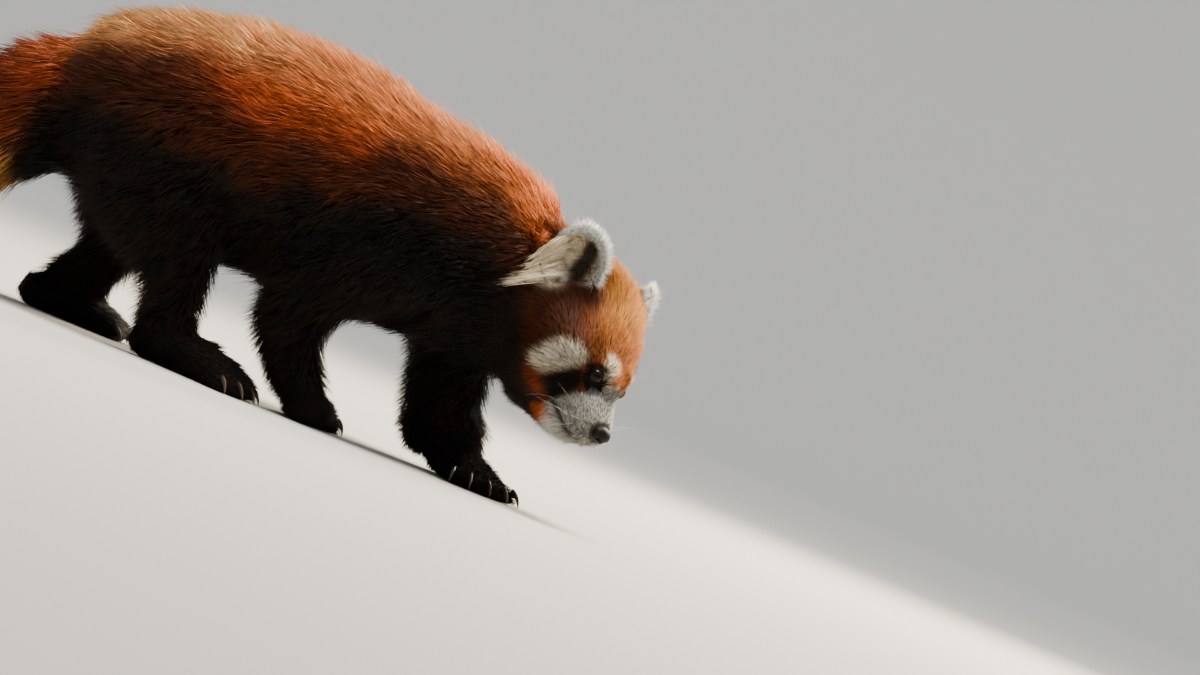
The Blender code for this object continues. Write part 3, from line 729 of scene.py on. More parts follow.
def tailColour(p):
    s = tailPlace(p) + wave(p, 3.0, 12) * 0.3
    low = ramp(15.5 - p[:, 2] + (p[:, 0] + 2) * 0.6, -1.5, 1.5)
    turn = np.abs(((s - tailRings["start"]) / tailRings["pitch"]) % 1.0 - 0.5) * 2
    pale = ramp(tailRings["pale"] - turn, -0.12, 0.12) * ramp(s, 7.5, 9.0)
    return washed(p, "ringDark", (
        ("rust", ramp(-s, -9, -5) * 0.8),  # the root carries on the colours of the rump
        ("orange", ramp(-s, -6, 0) * 0.5),
        ("orange", ramp(-s, -11, -7) * low * 0.6),
        ("umber", ramp(p[:, 0], -5.5, -2.5) * ramp(17.5 - p[:, 2], -0.6, 1.4) * 0.92),
        ("ringPale", pale * 0.9),
        ("umber", ramp(s, tailRings["darkTip"] - 1, tailRings["darkTip"] + 1)),
    ))


def legColour(p):
    return washed(p, "black", (
        ("umber", 0.4 + 0.4 * wave(p, 3.0, 21)),
        ("brown", ramp(p[:, 2], 15, 19) * 0.5),
    ))


# The face's chart is a slanted plane over one half of the head, the same for both halves: along, and up
chart = np.array(((0.326, 0.823, -0.465), (-0.802, 0.501, 0.326))).T
faceMarks = {  # colour, strength, softness of the edge, and the outline's corners on the chart
    "cheekPatch": ("cream", 0.9, 0.5, (
        (-6.0, 6.4), (-5.9, 7.4), (-4.7, 8.1), (-3.3, 8.5), (-2.0, 8.1), (-1.35, 7.4), (-1.39, 6.83),
        (-1.98, 6.25), (-2.98, 6.0), (-4.14, 5.75), (-5.23, 5.83))),
    "rustRim": ("rim", 0.95, 0.25, (
        (-6.5, 6.6), (-5.8, 6.1), (-5.39, 5.5), (-5.23, 4.5), (-4.6, 3.4), (-5.3, 3.6), (-6.06, 4.4),
        (-6.6, 5.5))),
    "tearBand": ("black", 0.95, 0.3, (
        (-4.4, 5.55), (-2.5, 6.05), (-1.75, 5.8), (-1.65, 4.9), (-2.4, 4.5), (-3.2, 3.95), (-3.9, 3.5),
        (-4.4, 3.4), (-4.75, 4.2), (-4.85, 5.0))),
    "underEye": ("rim", 0.85, 0.14, (
        (-1.75, 6.3), (-1.4, 6.2), (-1.4, 4.3), (-1.75, 4.3))),
    "muzzle": ("white", 0.98, 0.3, (
        (-4.9, 3.0), (-4.3, 3.4), (-3.81, 3.6), (-3.14, 3.8), (-2.39, 4.05), (-1.31, 3.95), (-0.3, 4.1),
        (0.36, 4.3), (2.2, 4.3), (4.0, 3.0), (4.0, -4.0), (-2.0, -4.0), (-3.4, -0.6), (-4.6, 0.3),
        (-5.3, 1.5))),
    "brow": ("cream", 0.68, 0.34, (
        (0.5, 7.2), (1.0, 7.0), (1.3, 6.2), (1.3, 5.5), (0.85, 4.9), (0.3, 4.3), (-0.15, 4.5),
        (0.1, 5.5), (0.32, 6.4))),
    "eyeShade": ("black", 0.9, 0.14, (
        (-1.3, 6.4), (-0.25, 6.25), (-0.05, 5.5), (-0.6, 4.9), (-0.95, 4.85), (-1.3, 5.1),
        (-1.42, 5.75))),
    "jawTint": ("orange", 0.7, 0.35, (
        (-5.9, 3.1), (-5.0, 3.0), (-4.7, 2.3), (-5.0, 1.5), (-5.6, 1.9))),
    "tearDuct": ("umber", 0.85, 0.16, (
        (-1.4, 5.1), (-0.8, 5.2), (-0.2, 4.5), (-0.35, 4.1), (-0.9, 4.25))),
}


def outline(points, corners):  # distance to a drawn outline, negative inside
    corners = np.array(corners)
    nearest, crossings = np.full(len(points), 1e9), np.zeros(len(points), int)
    for a, b in zip(corners, np.roll(corners, -1, 0)):
        nearest = np.minimum(nearest, capsule(points, a, b, 0, 0))
        between = (a[1] > points[:, 1]) != (b[1] > points[:, 1])
        cross = a[0] + (points[:, 1] - a[1]) / (b[1] - a[1] + 1e-9) * (b[0] - a[0])
        crossings += between & (points[:, 0] < cross)
    return np.where(crossings % 2 == 1, -nearest, nearest)


def headColour(p):
    h = toHead(p)
    q = fold(h) @ chart
    u, v = q.T
    speckle = wave(h, 0.5, 31, 7)
    flecks = wave(h, 0.45, 33, 7) * 0.5 + wave(h, 1.3, 34) * 0.5
    base = washed(p, "forehead", (
        ("crown", ramp(v, 7.5, 11.5) * ramp(u, -0.6, 1.6) * 0.5),
        ("rim", ramp(-u, -0.2, 1.8) * 0.6),  # darker and redder towards the side of the head
        ("brown", ramp(-u, 0.1, 2.7) * 0.88),
        ("brown", ramp(flecks, -0.3, 1.0) * (0.25 + 0.4 * ramp(-u, -1.4, 0.6))),
        ("brown", ramp(v + u * 0.2, 10.4, 11.6) * ramp(-u, -0.8, 0.6) * 0.85),
        ("umber", ramp(-u, 5.9, 7.2)),  # nape, throat and the back of the jaw: their dark fur, drawn darker as painted shade on the side of the neck
        ("umber", ramp(-h[:, 1], 0.9, 2.9) * ramp(-h[:, 0], 5.0, 6.4)),
        ("umber", ramp(-u, 4.7, 5.6) * ramp(-v, -4.8, -3.6)),
    ))
    front = ramp(h[:, 0], -5.6, -4.9)
    wider = q + (h[:, 2:] > 0) * np.array((1.1, -0.3))  # the far brow sits further out
    for name, (colour, strength, soft, corners) in faceMarks.items():
        drawn = outline(wider if name == "brow" else q, corners)
        amount = inside(drawn + speckle * 0.07, soft) * strength
        if name == "cheekPatch":
            amount = amount * (1 - 0.45 * ramp(flecks, 0.0, 1.1))
        if name == "muzzle":
            amount = amount * front
            # painted shade: the white muzzle drawn darker where it faces up and greyer towards the nose, as
            # it lies in shade
            whiteInShade = 0.84 - 0.36 * ramp(h[:, 1], -2.4, -0.6)
            base = mixIn(base, pelt["white"] * whiteInShade[:, None], amount)
            grey = amount * (ramp(h[:, 0], -3.4, -0.9) * 0.8 + 0.18) * (0.7 + 0.35 * speckle)
            base = mixIn(base, pelt["grey"], grey)
        else:
            base = mixIn(base, pelt[colour], amount)
    base = mixIn(base, pelt["umber"], ramp(-noseReach(h), -1.55, -1.2) * 0.85)
    lip = bell(mouthDistance(h), 0.38) * front * ramp(-h[:, 0], 0.6, 1.8)
    base = mixIn(base, pelt["umber"], lip * 0.9)
    for side in (-1, 1):
        share, reach, _ = lidReach(h, side)
        base = mixIn(base, pelt["black"], ramp(-share, -1.72, -1.3) * (reach < 1.3))
    return base


def earPlaces(p):  # to the head's middle and up, as shares of the ear's size, and how far before its cup
    spots = np.zeros((3, len(p)))
    left = toHead(p)[:, 2] > 0
    wide, deep, tall = ears["radii"]
    for name, here in (("ear_left", left), ("ear_right", ~left)):
        local = (p[here] - earMiddles[name]) @ np.array(earMatrix(name).to_3x3())
        m, u = -ears[name]["side"] * local[:, 0] / wide, local[:, 2] / tall
        cup = deep * np.clip(1 - m ** 2 - u ** 2, 0, 1)
        spots[:, here] = m, u, local[:, 1] + cup
    return spots


earMarks = {"whiteFrom": 0.68, "dark": ((0.42, 0.25), (-0.2, -0.42)), "darkWidth": 0.34}


def earColour(p):
    m, u, before = earPlaces(p)
    r = np.hypot(m, u) + wave(p, 0.8, 51) * 0.04
    flat = np.stack([m, u], 1)
    low = ramp(m, -0.2, 0.3) * ramp(-u, -0.1, 0.4)
    dark = capsule(flat, *earMarks["dark"], earMarks["darkWidth"], earMarks["darkWidth"])
    inner = washed(p, "buff", (
        ("cream", 0.65 + 0.3 * wave(p, 0.7, 52)),
        ("umber", low * (0.5 + 0.4 * wave(p, 0.5, 53))),
        ("black", inside(dark, 0.16) * 0.95),
        ("white", ramp(r, earMarks["whiteFrom"], 0.82)),
    ))
    outerSide = washed(p, "redRust", [("white", ramp(r + 0.3 * ramp(-m, 0.0, 0.5), 0.84, 0.96))])
    return mixIn(outerSide, inner, ramp(before, -0.1, 0.06))


def markings(p, weights):
    total = np.zeros((len(p), 3))
    for name, colourOf in colourings.items():
        here = weights[name] > 0.002
        if here.any():
            total[here] += colourOf(p[here]) * weights[name][here, None]
    for root in lockRoots:  # cream where the ears' long locks start
        total = mixIn(total, pelt["cream"], near(p, root, aroundEars["creamReach"], 4) * 0.9)
    return total


# How much each point belongs to each part, so that one marking fades into the next
colourings = {
    "body": bodyColour, "tail": tailColour, "leg": legColour, "head": headColour, "ear": earColour,
}
groups = {
    "body": ("trunk", "neck"), "tail": ("tail",), "leg": ("lowerLeg", "foot", "upperLeg"),
    "head": ("head",), "ear": ("ear",),
}
share = {}
for name, found in groups.items():
    share[name] = smoothField(np.isin(kinds, found).astype(float), edges, 14)
isEar = kinds == "ear"
share["ear"] = smoothField(isEar.astype(float), edges, 3)
for name in ("body", "head"):
    share[name] *= 1 - share["ear"]
lifted = ramp(outer[:, 2], 12.5, 16.5) * smoothField((kinds == "upperLeg").astype(float), edges, 14)
share["body"], share["leg"] = share["body"] + lifted, np.maximum(share["leg"] - lifted, 0)
whole = sum(share.values())
share = {name: value / whole for name, value in share.items()}

# Ear hair runs outward over the cup, and back across its outer half
m, u, before = earPlaces(outer)
radial = unit(np.stack([m, u], 1))
swept = ramp(-m, -0.35, 0.3)[:, None]
radial = unit(radial + (np.array((-0.85, -0.5)) - radial) * swept)
for name in earNodes:
    here = isEar & ((h[:, 2] > 0) == (ears[name]["side"] > 0)) & (before > -0.12)
    turn = np.array(earMatrix(name).to_3x3())
    flow = radial[here, :1] * -ears[name]["side"] * turn[:, 0] + radial[here, 1:] * turn[:, 2]
    comb[here] = tangent(flow, normals[here])
rim = isEar * ramp(np.hypot(m, u), 0.82, 0.98) * ramp(m, -0.45, 0.05)
table[:, 2] += rim * aroundEars["rimLift"]
table[:, 1] += rim * aroundEars["rimLonger"]
skinNormals = readVectors(mesh.vertex_normals, "vector")
marked = np.where(nearFace[:, None], sunk, outer)  # on the face where the skin lies once it is shaped
skinShade = np.where(isEar, skinForm["earShade"], skinForm["shade"])
paint(mesh, markings(marked, share) * skinShade[:, None])
mesh.materials.append(hide)


def unwrap(thing):
    bpy.context.view_layer.objects.active = thing
    thing.select_set(True)
    if not thing.data.uv_layers:
        thing.data.uv_layers.new(name="OFBake")
    bpy.ops.object.mode_set(mode="EDIT")
    bpy.ops.mesh.select_all(action="SELECT")
    bpy.ops.uv.smart_project(angle_limit=1.15, island_margin=0.003)
    bpy.ops.object.mode_set(mode="OBJECT")
    thing.select_set(False)


unwrap(skin)
place(skin, "rust", *fleshNodes, *earNodes)
print("skin painted and unwrapped")


# Tufts: thin closed locks, all the tufts of a piece in one mesh

patchSize = 0.003  # each lock's patch of the baked image, as a share of its side
hairFloor = 0.03  # no lock hangs lower


# One path of points for each lock: a share of zero in the profile makes a point, any other a ring of three
def strandMesh(name, paths, out, widths, profile, colours, uv, seed, flat=0.55):
    count, length = paths.shape[:2]
    roll = np.random.default_rng(seed).uniform(-0.9, 0.9, (count, 1, 1))
    ahead = unit(np.gradient(paths, axis=1))
    side = unit(np.cross(ahead, out[:, None]))
    rise = np.cross(side, ahead)
    side, rise = side * np.cos(roll) + rise * np.sin(roll), rise * np.cos(roll) - side * np.sin(roll)
    rows, shades, spots, starts, sizes = [], [], [], [], []
    for k, width in enumerate(profile):
        half = (widths / 2 * width)[:, None]
        angles = [0.0] if width == 0 else [0.0, math.tau / 3, 2 * math.tau / 3]
        starts.append(len(rows))
        sizes.append(len(angles))
        for corner, angle in enumerate(angles):
            away = math.cos(angle) * side[:, k] - math.sin(angle) * rise[:, k] * flat
            rows.append(paths[:, k] + half * away)
            shades.append(colours[:, k])
            spots.append((0.5 if width == 0 else corner / 2, k / (length - 1)))
    faces = []
    for k in range(length - 1):
        a, b = starts[k], starts[k + 1]
        for i, j in ((0, 1), (1, 2), (2, 0)):
            if sizes[k] == 3:
                faces.append((a + i, a + j, b + (j if sizes[k + 1] == 3 else 0)))
            if sizes[k + 1] == 3:
                faces.append((a + (i if sizes[k] == 3 else 0), b + j, b + i))
    if sizes[0] == 3:
        faces.append((2, 1, 0))
    size = len(rows)
    points = np.stack(rows, 1).reshape(-1, 3)
    points[:, 2] = np.maximum(points[:, 2], hairFloor)
    triangles = (np.array(faces)[None] + np.arange(count)[:, None, None] * size).reshape(-1, 3)
    uvs = (uv[:, None] + (np.array(spots) - 0.5)[None] * patchSize).reshape(-1, 2)
    mesh = bpy.data.meshes.new(name)
    mesh.vertices.add(len(points))
    writeValues(mesh.vertices, "co", metres(points))
    mesh.loops.add(triangles.size)
    writeValues(mesh.loops, "vertex_index", triangles, np.int32)
    mesh.polygons.add(len(triangles))
    writeValues(mesh.polygons, "loop_start", np.arange(0, triangles.size, 3), np.int32)
    mesh.update(calc_edges=True)
    writeValues(mesh.uv_layers.new(name="OFBake").data, "uv", uvs[triangles.ravel()])
    paint(mesh, np.stack(shades, 1).reshape(-1, 3))
    mesh.shade_smooth()
    return newObject(name, mesh, hair)


profiles = {
    "lock": (0, 1, 0), "spike": (1, 0), "long": (0, 0.9, 1, 0.7, 0), "whisker": (1, 0.9, 0.75, 0.6, 0.4, 0),
}
mesh.calc_loop_triangles()
triVerts = readVectors(mesh.loop_triangles, "vertices", 3, np.int32)
triLoops = readVectors(mesh.loop_triangles, "loops", 3, np.int32)
loopUv = readVectors(mesh.uv_layers["OFBake"].data, "uv", 2)
skinPoints = centimetres(readVectors(mesh.vertices, "co"))
corner = outer[triVerts]
corner = corner[:, 1:] - corner[:, :1]
outerArea = np.linalg.norm(np.cross(corner[:, 0], corner[:, 1]), axis=1) / 2


def scatter(weights, count, seed):  # places on the skin: the triangle and the share of each corner
    own = np.random.default_rng(seed)
    steps = np.cumsum(weights)
    tri = np.searchsorted(steps, own.uniform(0, steps[-1], count))
    a, b = np.sqrt(own.random(count)), own.random(count)
    return np.clip(tri, 0, len(weights) - 1), np.stack([1 - a, a * (1 - b), a * b], 1)


def at(field, tri, mix):
    return (field[triVerts[tri]] * mix[..., None]).sum(1)


def uvAt(tri, mix):
    return (loopUv[triLoops[tri]] * mix[..., None]).sum(1)


# Tone: of the root and of the tip against the marking, and how much gold is painted on the pale tips that
# face up, as painted light from above
coat = {
    "body": {"count": 106000, "profile": "lock", "slot": "rust", "pieces": 4, "seed": 41,
             "tone": (0.3, 1.3, 0.24)},
    "tail": {"count": 33000, "profile": "lock", "slot": "ring", "pieces": 1, "seed": 42,
             "tone": (0.3, 1.3, 0.24)},
    "legs": {"count": 47000, "profile": "spike", "slot": "umber", "pieces": 1, "seed": 43,
             "tone": (0.5, 1.15, 0)},
    "head": {"count": 82000, "profile": "spike", "slot": "gold", "pieces": 2, "seed": 44,
             "tone": (0.27, 1.36, 0)},
    "ears": {"count": 22000, "profile": "spike", "slot": "cream", "pieces": 1, "seed": 45,
             "tone": (0.62, 1.4, 0)},
    "clumpRatio": 5, "clumpPull": 0.34, "clumpReach": 1.2, "lengthSpread": 0.2, "swirl": 13, "stray": 9,
    "rootSink": 0.04, "liftFirst": 1.25, "liftLast": 0.62, "lowest": 0.25, "eyeClear": 1.3, "noseClear": 1.12,
    "toneSpread": 0.2, "darkShare": 0.22, "lightShare": 0.12,
}


# Locks over a part of the skin: neighbours lean together, and tones change from clump to clump
def growCoat(name, chosen):
    piece = coat[name]
    count, seed = piece["count"], piece["seed"]
    own = np.random.default_rng(seed)
    density = table[:, 3][triVerts].mean(1) * outerArea * chosen[triVerts].mean(1)
    density[skinPoints[triVerts].mean(1)[:, 2] < coat["lowest"]] = 0
    tri, mix = scatter(density, count, seed)
    root, out = at(skinPoints, tri, mix), unit(at(skinNormals, tri, mix))
    flow = tangent(at(comb, tri, mix), out)
    fields = at(table, tri, mix)
    side = np.cross(out, flow)
    swirl = np.radians(wave(root, 4.5, seed) * coat["swirl"] + own.normal(0, coat["stray"], count))
    flow = flow * np.cos(swirl)[:, None] + side * np.sin(swirl)[:, None]
    length = (fields[:, 1] * np.clip(own.normal(1.0, coat["lengthSpread"], count), 0.45, 1.6))[:, None]
    lift = np.clip(fields[:, 2] + own.normal(0, 5, count) + wave(root, 2.5, seed + 1) * 4, 6, 70)[:, None]
    first, last = np.radians(lift * coat["liftFirst"]), np.radians(lift * coat["liftLast"])
    middle = root + length * 0.5 * (np.cos(first) * flow + np.sin(first) * out)
    tip = middle + length * 0.5 * (np.cos(last) * flow + np.sin(last) * out)
    root = root - out * coat["rootSink"] * length
    leaders = own.choice(count, count // coat["clumpRatio"], replace=False)
    finder = KDTree(len(leaders))
    for index, leader in enumerate(leaders):
        finder.insert(root[leader], index)
    finder.balance()
    nearest = np.array([finder.find(r)[1] for r in root])
    leader = leaders[nearest]
    pull = coat["clumpPull"] * own.uniform(0.5, 1.3, (count, 1))
    pull = pull * (np.linalg.norm(root - root[leader], axis=1) < coat["clumpReach"])[:, None]
    tip = tip + (tip[leader] - tip) * pull
    middle = middle + (middle[leader] - middle) * pull * 0.35
    spot = (tip + middle) / 2 + own.normal(0, 0.12, (count, 3)) * fields[:, 1:2] * 0.5
    weights = {key: at(value[:, None], tri, mix)[:, 0] for key, value in share.items()}
    colour = markings(spot, weights)
    clump = own.normal(0, coat["toneSpread"], len(leaders))[nearest]
    shade = np.clip(1 + clump + own.normal(0, 0.1, count), 0.4, 1.7)
    chance = own.random(count)
    shade = np.where(chance < coat["darkShare"], shade * 0.5, shade)
    shade = np.where(chance > 1 - coat["lightShare"], shade * 1.35, shade)[:, None]
    rootTone, tipTone, wash = piece["tone"]
    # painted light from above: pale tips that face up are washed towards gold
    light = ramp(colour.sum(1), 0.14, 0.6) * ramp(out[:, 2], 0.35, 1.0)
    rootColour = colour * rootTone * shade
    tipColour = (colour * tipTone + (pelt["gold"] - colour) * wash * light[:, None]) * shade
    widths = fields[:, 4] * 0.1 * own.uniform(0.7, 1.2, count)
    order = np.argsort(toHead(spot)[:, 0] if name == "head" else spot[:, 0])
    profile = profiles[piece["profile"]]
    uv = uvAt(tri, mix)
    for index, part in enumerate(np.array_split(order, piece["pieces"])):
        path = np.stack([root, tip] if len(profile) == 2 else [root, middle, tip], 1)[part]
        blend = np.linspace(0, 1, len(profile))[None, :, None]
        colours = rootColour[part][:, None] * (1 - blend) + tipColour[part][:, None] * blend
        label = f"coat{name.capitalize()}" + (str(index + 1) if piece["pieces"] > 1 else "")
        made = strandMesh(label, path, out[part], widths[part], profile, colours, uv[part], seed + index)
        place(made, piece["slot"])
    print(name, count, "tufts")


clear = np.ones(len(outer))
hSkin = toHead(skinPoints)
for side in (-1, 1):
    lidShare, reach, _ = lidReach(hSkin, side)
    clear = np.where((lidShare < coat["eyeClear"]) & (reach < coat["eyeClear"]), 0.0, clear)
clear = np.where(noseReach(hSkin) < coat["noseClear"], 0.0, clear)
growCoat("body", share["body"] * (1 - share["tail"]))
growCoat("tail", share["tail"])
growCoat("legs", share["leg"])
growCoat("head", share["head"] * clear)
growCoat("ears", share["ear"])


# Long cream locks that leave the outer half of each ear and gather over the side of the neck

earLocks = {
    "locks": 64, "each": 20, "reach": (0.7, 1.05), "bow": 1.0, "fan": 0.27, "seed": 61,
    "across": -0.12, "beyond": 0.4, "below": 0.8,  # where they grow, as shares of the ear's size
    "width": (0.035, 0.06), "buffShare": 0.18,
    "gather": {"ear_right": (-12.2, 0.2, -10.3), "ear_left": (-12.8, 0.6, 7.3)},
}


def makeEarLocks(name):
    own = np.random.default_rng(earLocks["seed"] + ears[name]["side"])
    side = ears[name]["side"]
    m, u, before = earPlaces(skinPoints)
    r = np.hypot(m, u)
    chosen = isEar & ((hSkin[:, 2] > 0) == (side > 0))
    chosen &= (m < earLocks["across"]) & (r > earLocks["beyond"]) & (before > 0) & (u < earLocks["below"])
    weight = outerArea * chosen[triVerts].all(1)
    leadTri, leadMix = scatter(weight, earLocks["locks"], earLocks["seed"])
    lead = at(skinPoints, leadTri, leadMix)
    count = earLocks["locks"] * earLocks["each"]
    tri, mix = scatter(weight, count * 8, earLocks["seed"] + 1)
    root = at(skinPoints, tri, mix)
    lock = np.argmin(((root[:, None] - lead[None]) ** 2).sum(2), 1)
    order = own.permutation(len(root))[:count]
    root, tri, mix, lock = root[order], tri[order], mix[order], lock[order]
    gather = fromHead(np.array(earLocks["gather"][name])[None])
    upper = ramp(earPlaces(lead)[1], -0.6, 0.4)
    reach = own.uniform(*earLocks["reach"], earLocks["locks"]) * (1 - 0.55 * upper)
    leadTip = lead + (gather - lead) * reach[:, None] + own.normal(0, earLocks["fan"], lead.shape)
    tip = leadTip[lock] + (root - lead[lock]) * 0.35 + own.normal(0, 0.1, (count, 3))
    tip = root + (tip - root) * own.uniform(0.65, 1.05, (count, 1))
    outward = unit(np.array([[0.1, -0.25, 1.0 * side]]) @ headTurn.T)
    bend = root + (tip - root) * 0.4 + outward * earLocks["bow"] * own.uniform(0.5, 1.1, (count, 1))
    t = np.linspace(0, 1, 5)[None, :, None]
    path = root[:, None] * (1 - t) ** 2 + bend[:, None] * 2 * t * (1 - t) + tip[:, None] * t ** 2
    wash = own.random((count, 1))
    colour = pelt["cream"] * (0.9 + 0.25 * wash)
    colour = np.where(own.random((count, 1)) < earLocks["buffShare"], pelt["buff"] * 0.8, colour)
    colours = colour[:, None] * (0.7 + 0.3 * t)
    widths = own.uniform(*earLocks["width"], count)
    out = np.tile(outward, (count, 1))
    label = "earLocks" + ("Left" if side > 0 else "Right")
    place(strandMesh(label, path, out, widths, profiles["long"], colours, uvAt(tri, mix), 71), "cream")


for name in earNodes:
    makeEarLocks(name)


# Whiskers: root, first and last direction and length, on the left half of the head and mirrored

whiskers = {
    "width": 0.021, "steps": 6, "leftOnly": 11,  # this row has no mirrored whisker
    "list": (
        ((-1.7, 0.5, 1.2), (0.2, 0.6, 0.75), (0.3, 0.8, 0.5), 2.7),
        ((-1.5, -0.1, 1.35), (0.3, 0.5, 0.8), (0.3, 0.7, 0.6), 1.4),
        ((-1.9, -0.5, 1.6), (0.2, 0.0, 1.0), (-0.6, -0.4, 1.0), 4.0),
        ((-2.3, -0.2, 1.8), (0.0, 0.2, 1.0), (-0.8, 0.0, 1.0), 4.4),
        ((-2.0, -1.1, 1.5), (0.2, -0.5, 1.0), (-0.4, -0.9, 0.6), 3.4),
        ((-2.6, -0.8, 2.0), (-0.1, -0.3, 1.0), (-0.9, -0.6, 0.7), 4.2),
        ((-0.6, -1.1, 0.8), (0.9, -0.3, 0.4), (0.2, -1.0, -0.1), 4.2),
        ((-0.8, -1.0, 0.9), (0.8, -0.2, 0.6), (0.5, -0.7, 0.1), 2.2),
        ((-0.9, -1.5, 0.6), (0.8, -0.5, 0.3), (-0.1, -1.0, -0.2), 3.2),
        ((-1.2, -1.9, 0.5), (0.6, -0.8, 0.3), (0.1, -1.0, -0.1), 2.4),
        ((-1.8, -2.4, 0.6), (0.4, -1.0, 0.3), (-0.6, -0.9, 0.2), 2.0),
        ((-4.6, 3.4, 1.8), (0.0, 1.0, 0.35), (-0.8, 0.55, -0.2), 4.2),
        ((-4.9, 3.8, 1.8), (0.3, 0.85, 0.5), (0.5, 0.75, 0.4), 2.3),
        ((-4.0, -1.5, 2.9), (-0.6, -0.6, 0.7), (-0.2, -0.9, 0.4), 2.8),
    ),
}


def makeWhiskers():
    paths, uvs = [], []
    for index, (root, start, end, length) in enumerate(whiskers["list"]):
        for side in (1,) if index == whiskers["leftOnly"] else (-1, 1):
            spot = Vector(metres(fromHead(np.array([root]) * [1, 1, side]))[0])
            hit = skin.closest_point_on_mesh(spot)
            base = toHead(centimetres(np.array([hit[1]])))[0]
            poly = mesh.polygons[hit[3]]
            uvs.append(loopUv[poly.loop_start])
            line = [base]
            for t in np.linspace(0, 1, whiskers["steps"] - 1):
                step = unit(np.array(start) * (1 - t) + np.array(end) * t) * [1, 1, side]
                line.append(line[-1] + step * length / (whiskers["steps"] - 1))
            paths.append(fromHead(np.array(line)))
    paths = np.array(paths)
    out = np.tile((0.0, 0.0, 1.0), (len(paths), 1))
    colours = np.tile(pelt["cream"] * 0.9, (len(paths), whiskers["steps"], 1))
    widths = np.full(len(paths), whiskers["width"])
    made = strandMesh("whiskers", paths, out, widths, profiles["whisker"], colours, np.array(uvs), 72, 1.0)
    place(made, "cream")


makeWhiskers()
print("ear locks and whiskers made")


# Eyes, nose and claws

# Colours from the middle of the pupil outwards, as shares of a quarter turn
eyeForm = {
    "bulge": 0.045, "bulgeReach": 0.55,
    "bands": ((0.0, "#010101"), (0.3, "#010101"), (0.34, "#1B0E07"), (0.56, "#100805"), (0.64, "#030202")),
}


# Wet eye: a black pupil in a very dark brown iris under a clear, glossy film of tears
def eyeMaterial():
    material, tree, shader = newMaterial("wetEye", 0.04, IOR=1.34, Specular_IOR_Level=0.22)
    gaze = addNode(tree, "ShaderNodeAttribute", {"attribute_name": "gaze"})
    bands = addNode(tree, "ShaderNodeValToRGB", Fac=gaze.outputs["Fac"])
    stops = bands.color_ramp.elements
    while len(stops) < len(eyeForm["bands"]):
        stops.new(0.5)
    for stop, (spot, code) in zip(stops, eyeForm["bands"]):
        stop.position, stop.color = spot, (*linear(code), 1)
    tree.links.new(bands.outputs["Color"], shader.inputs["Base Color"])
    return material


def makeEye(name, side, material):
    bm = bmesh.new()
    matrix = eyeMatrix(side)
    facing = Vector(eyeAxes(side)[0])
    verts = bmesh.ops.create_icosphere(bm, subdivisions=5, radius=1.0)["verts"]
    angles = []
    for vert in verts:
        angle = vert.co.normalized().angle(facing)
        bulge = eyeForm["bulge"] * math.exp(-(angle / eyeForm["bulgeReach"]) ** 2)
        angles.append(angle / math.pi * 2)
        vert.co *= head["eyeRadius"] + bulge * head["eyeRadius"]
    bmesh.ops.transform(bm, matrix=toMetres @ matrix, verts=verts)
    eye = fromBmesh("eyeBall" + ("Left" if side > 0 else "Right"), bm, material)
    layer = eye.data.attributes.new(name="gaze", type="FLOAT", domain="POINT")
    writeValues(layer.data, "value", np.array(angles))
    unwrap(eye)
    place(eye, "eye", name)


noseForm = {
    "nostril": (0.80, -0.22, 0.56), "nostrilSize": (0.3, 0.2), "nostrilDepth": 0.34, "groove": 0.1,
    "grooveWidth": 0.07, "underside": 0.16, "pebbles": 1250.0, "colour": "#0B0A0A",
}


# Moist black nose leather in pebbles under a millimetre across
def noseMaterial():
    material, tree, shader = newMaterial("noseLeather", 0.5, IOR=1.4, Specular_IOR_Level=0.15)
    shader.inputs["Base Color"].default_value = (*linear(noseForm["colour"]), 1)
    where = addNode(tree, "ShaderNodeTexCoord")
    settings = {"feature": "DISTANCE_TO_EDGE", "Scale": noseForm["pebbles"]}
    pebbles = addNode(tree, "ShaderNodeTexVoronoi", settings, Vector=where.outputs["Object"])
    roughen(tree, shader, 0.6, 0.0002, pebbles.outputs["Distance"])
    return material


def makeNose():
    bm = bmesh.new()
    verts = bmesh.ops.create_icosphere(bm, subdivisions=6, radius=1.0)["verts"]
    rows = np.array([v.co for v in verts])
    scale = np.ones(len(rows))
    for side in (-1, 1):
        centre = unit(np.array(noseForm["nostril"]) * [1, 1, side])
        outward = unit(np.cross(centre, (0.0, 1.0, 0.25 * side)))
        across = np.abs(rows @ outward)
        upward = np.abs(rows @ np.cross(centre, outward))
        wide, high = noseForm["nostrilSize"]
        dent = np.exp(-(across / wide) ** 2 - (upward / high) ** 2) * (rows @ centre > 0)
        scale -= dent * noseForm["nostrilDepth"]
    cleft = bell(rows[:, 2], noseForm["grooveWidth"]) * ramp(-rows[:, 1], -0.25, 0.3)
    scale -= cleft * noseForm["groove"]
    scale -= ramp(-rows[:, 1], 0.35, 0.9) * noseForm["underside"]
    form = rows * scale[:, None] * head["noseRadii"]
    for vert, co in zip(verts, form):
        vert.co = co
    bmesh.ops.transform(bm, matrix=toMetres @ headFrame @ Matrix.Translation(head["nose"]), verts=verts)
    nose = fromBmesh("noseLeather", bm, noseMaterial())
    unwrap(nose)
    place(nose, "nose", "nose")


# Horn: worn keratin, darker at the root, with faint changes of tone about 1.4 mm across
def hornMaterial():
    material, tree, shader = newMaterial("clawHorn", 0.45, IOR=1.55, Specular_IOR_Level=0.25)
    grained(tree, shader, 700.0, 0.8, 1.15)
    return material


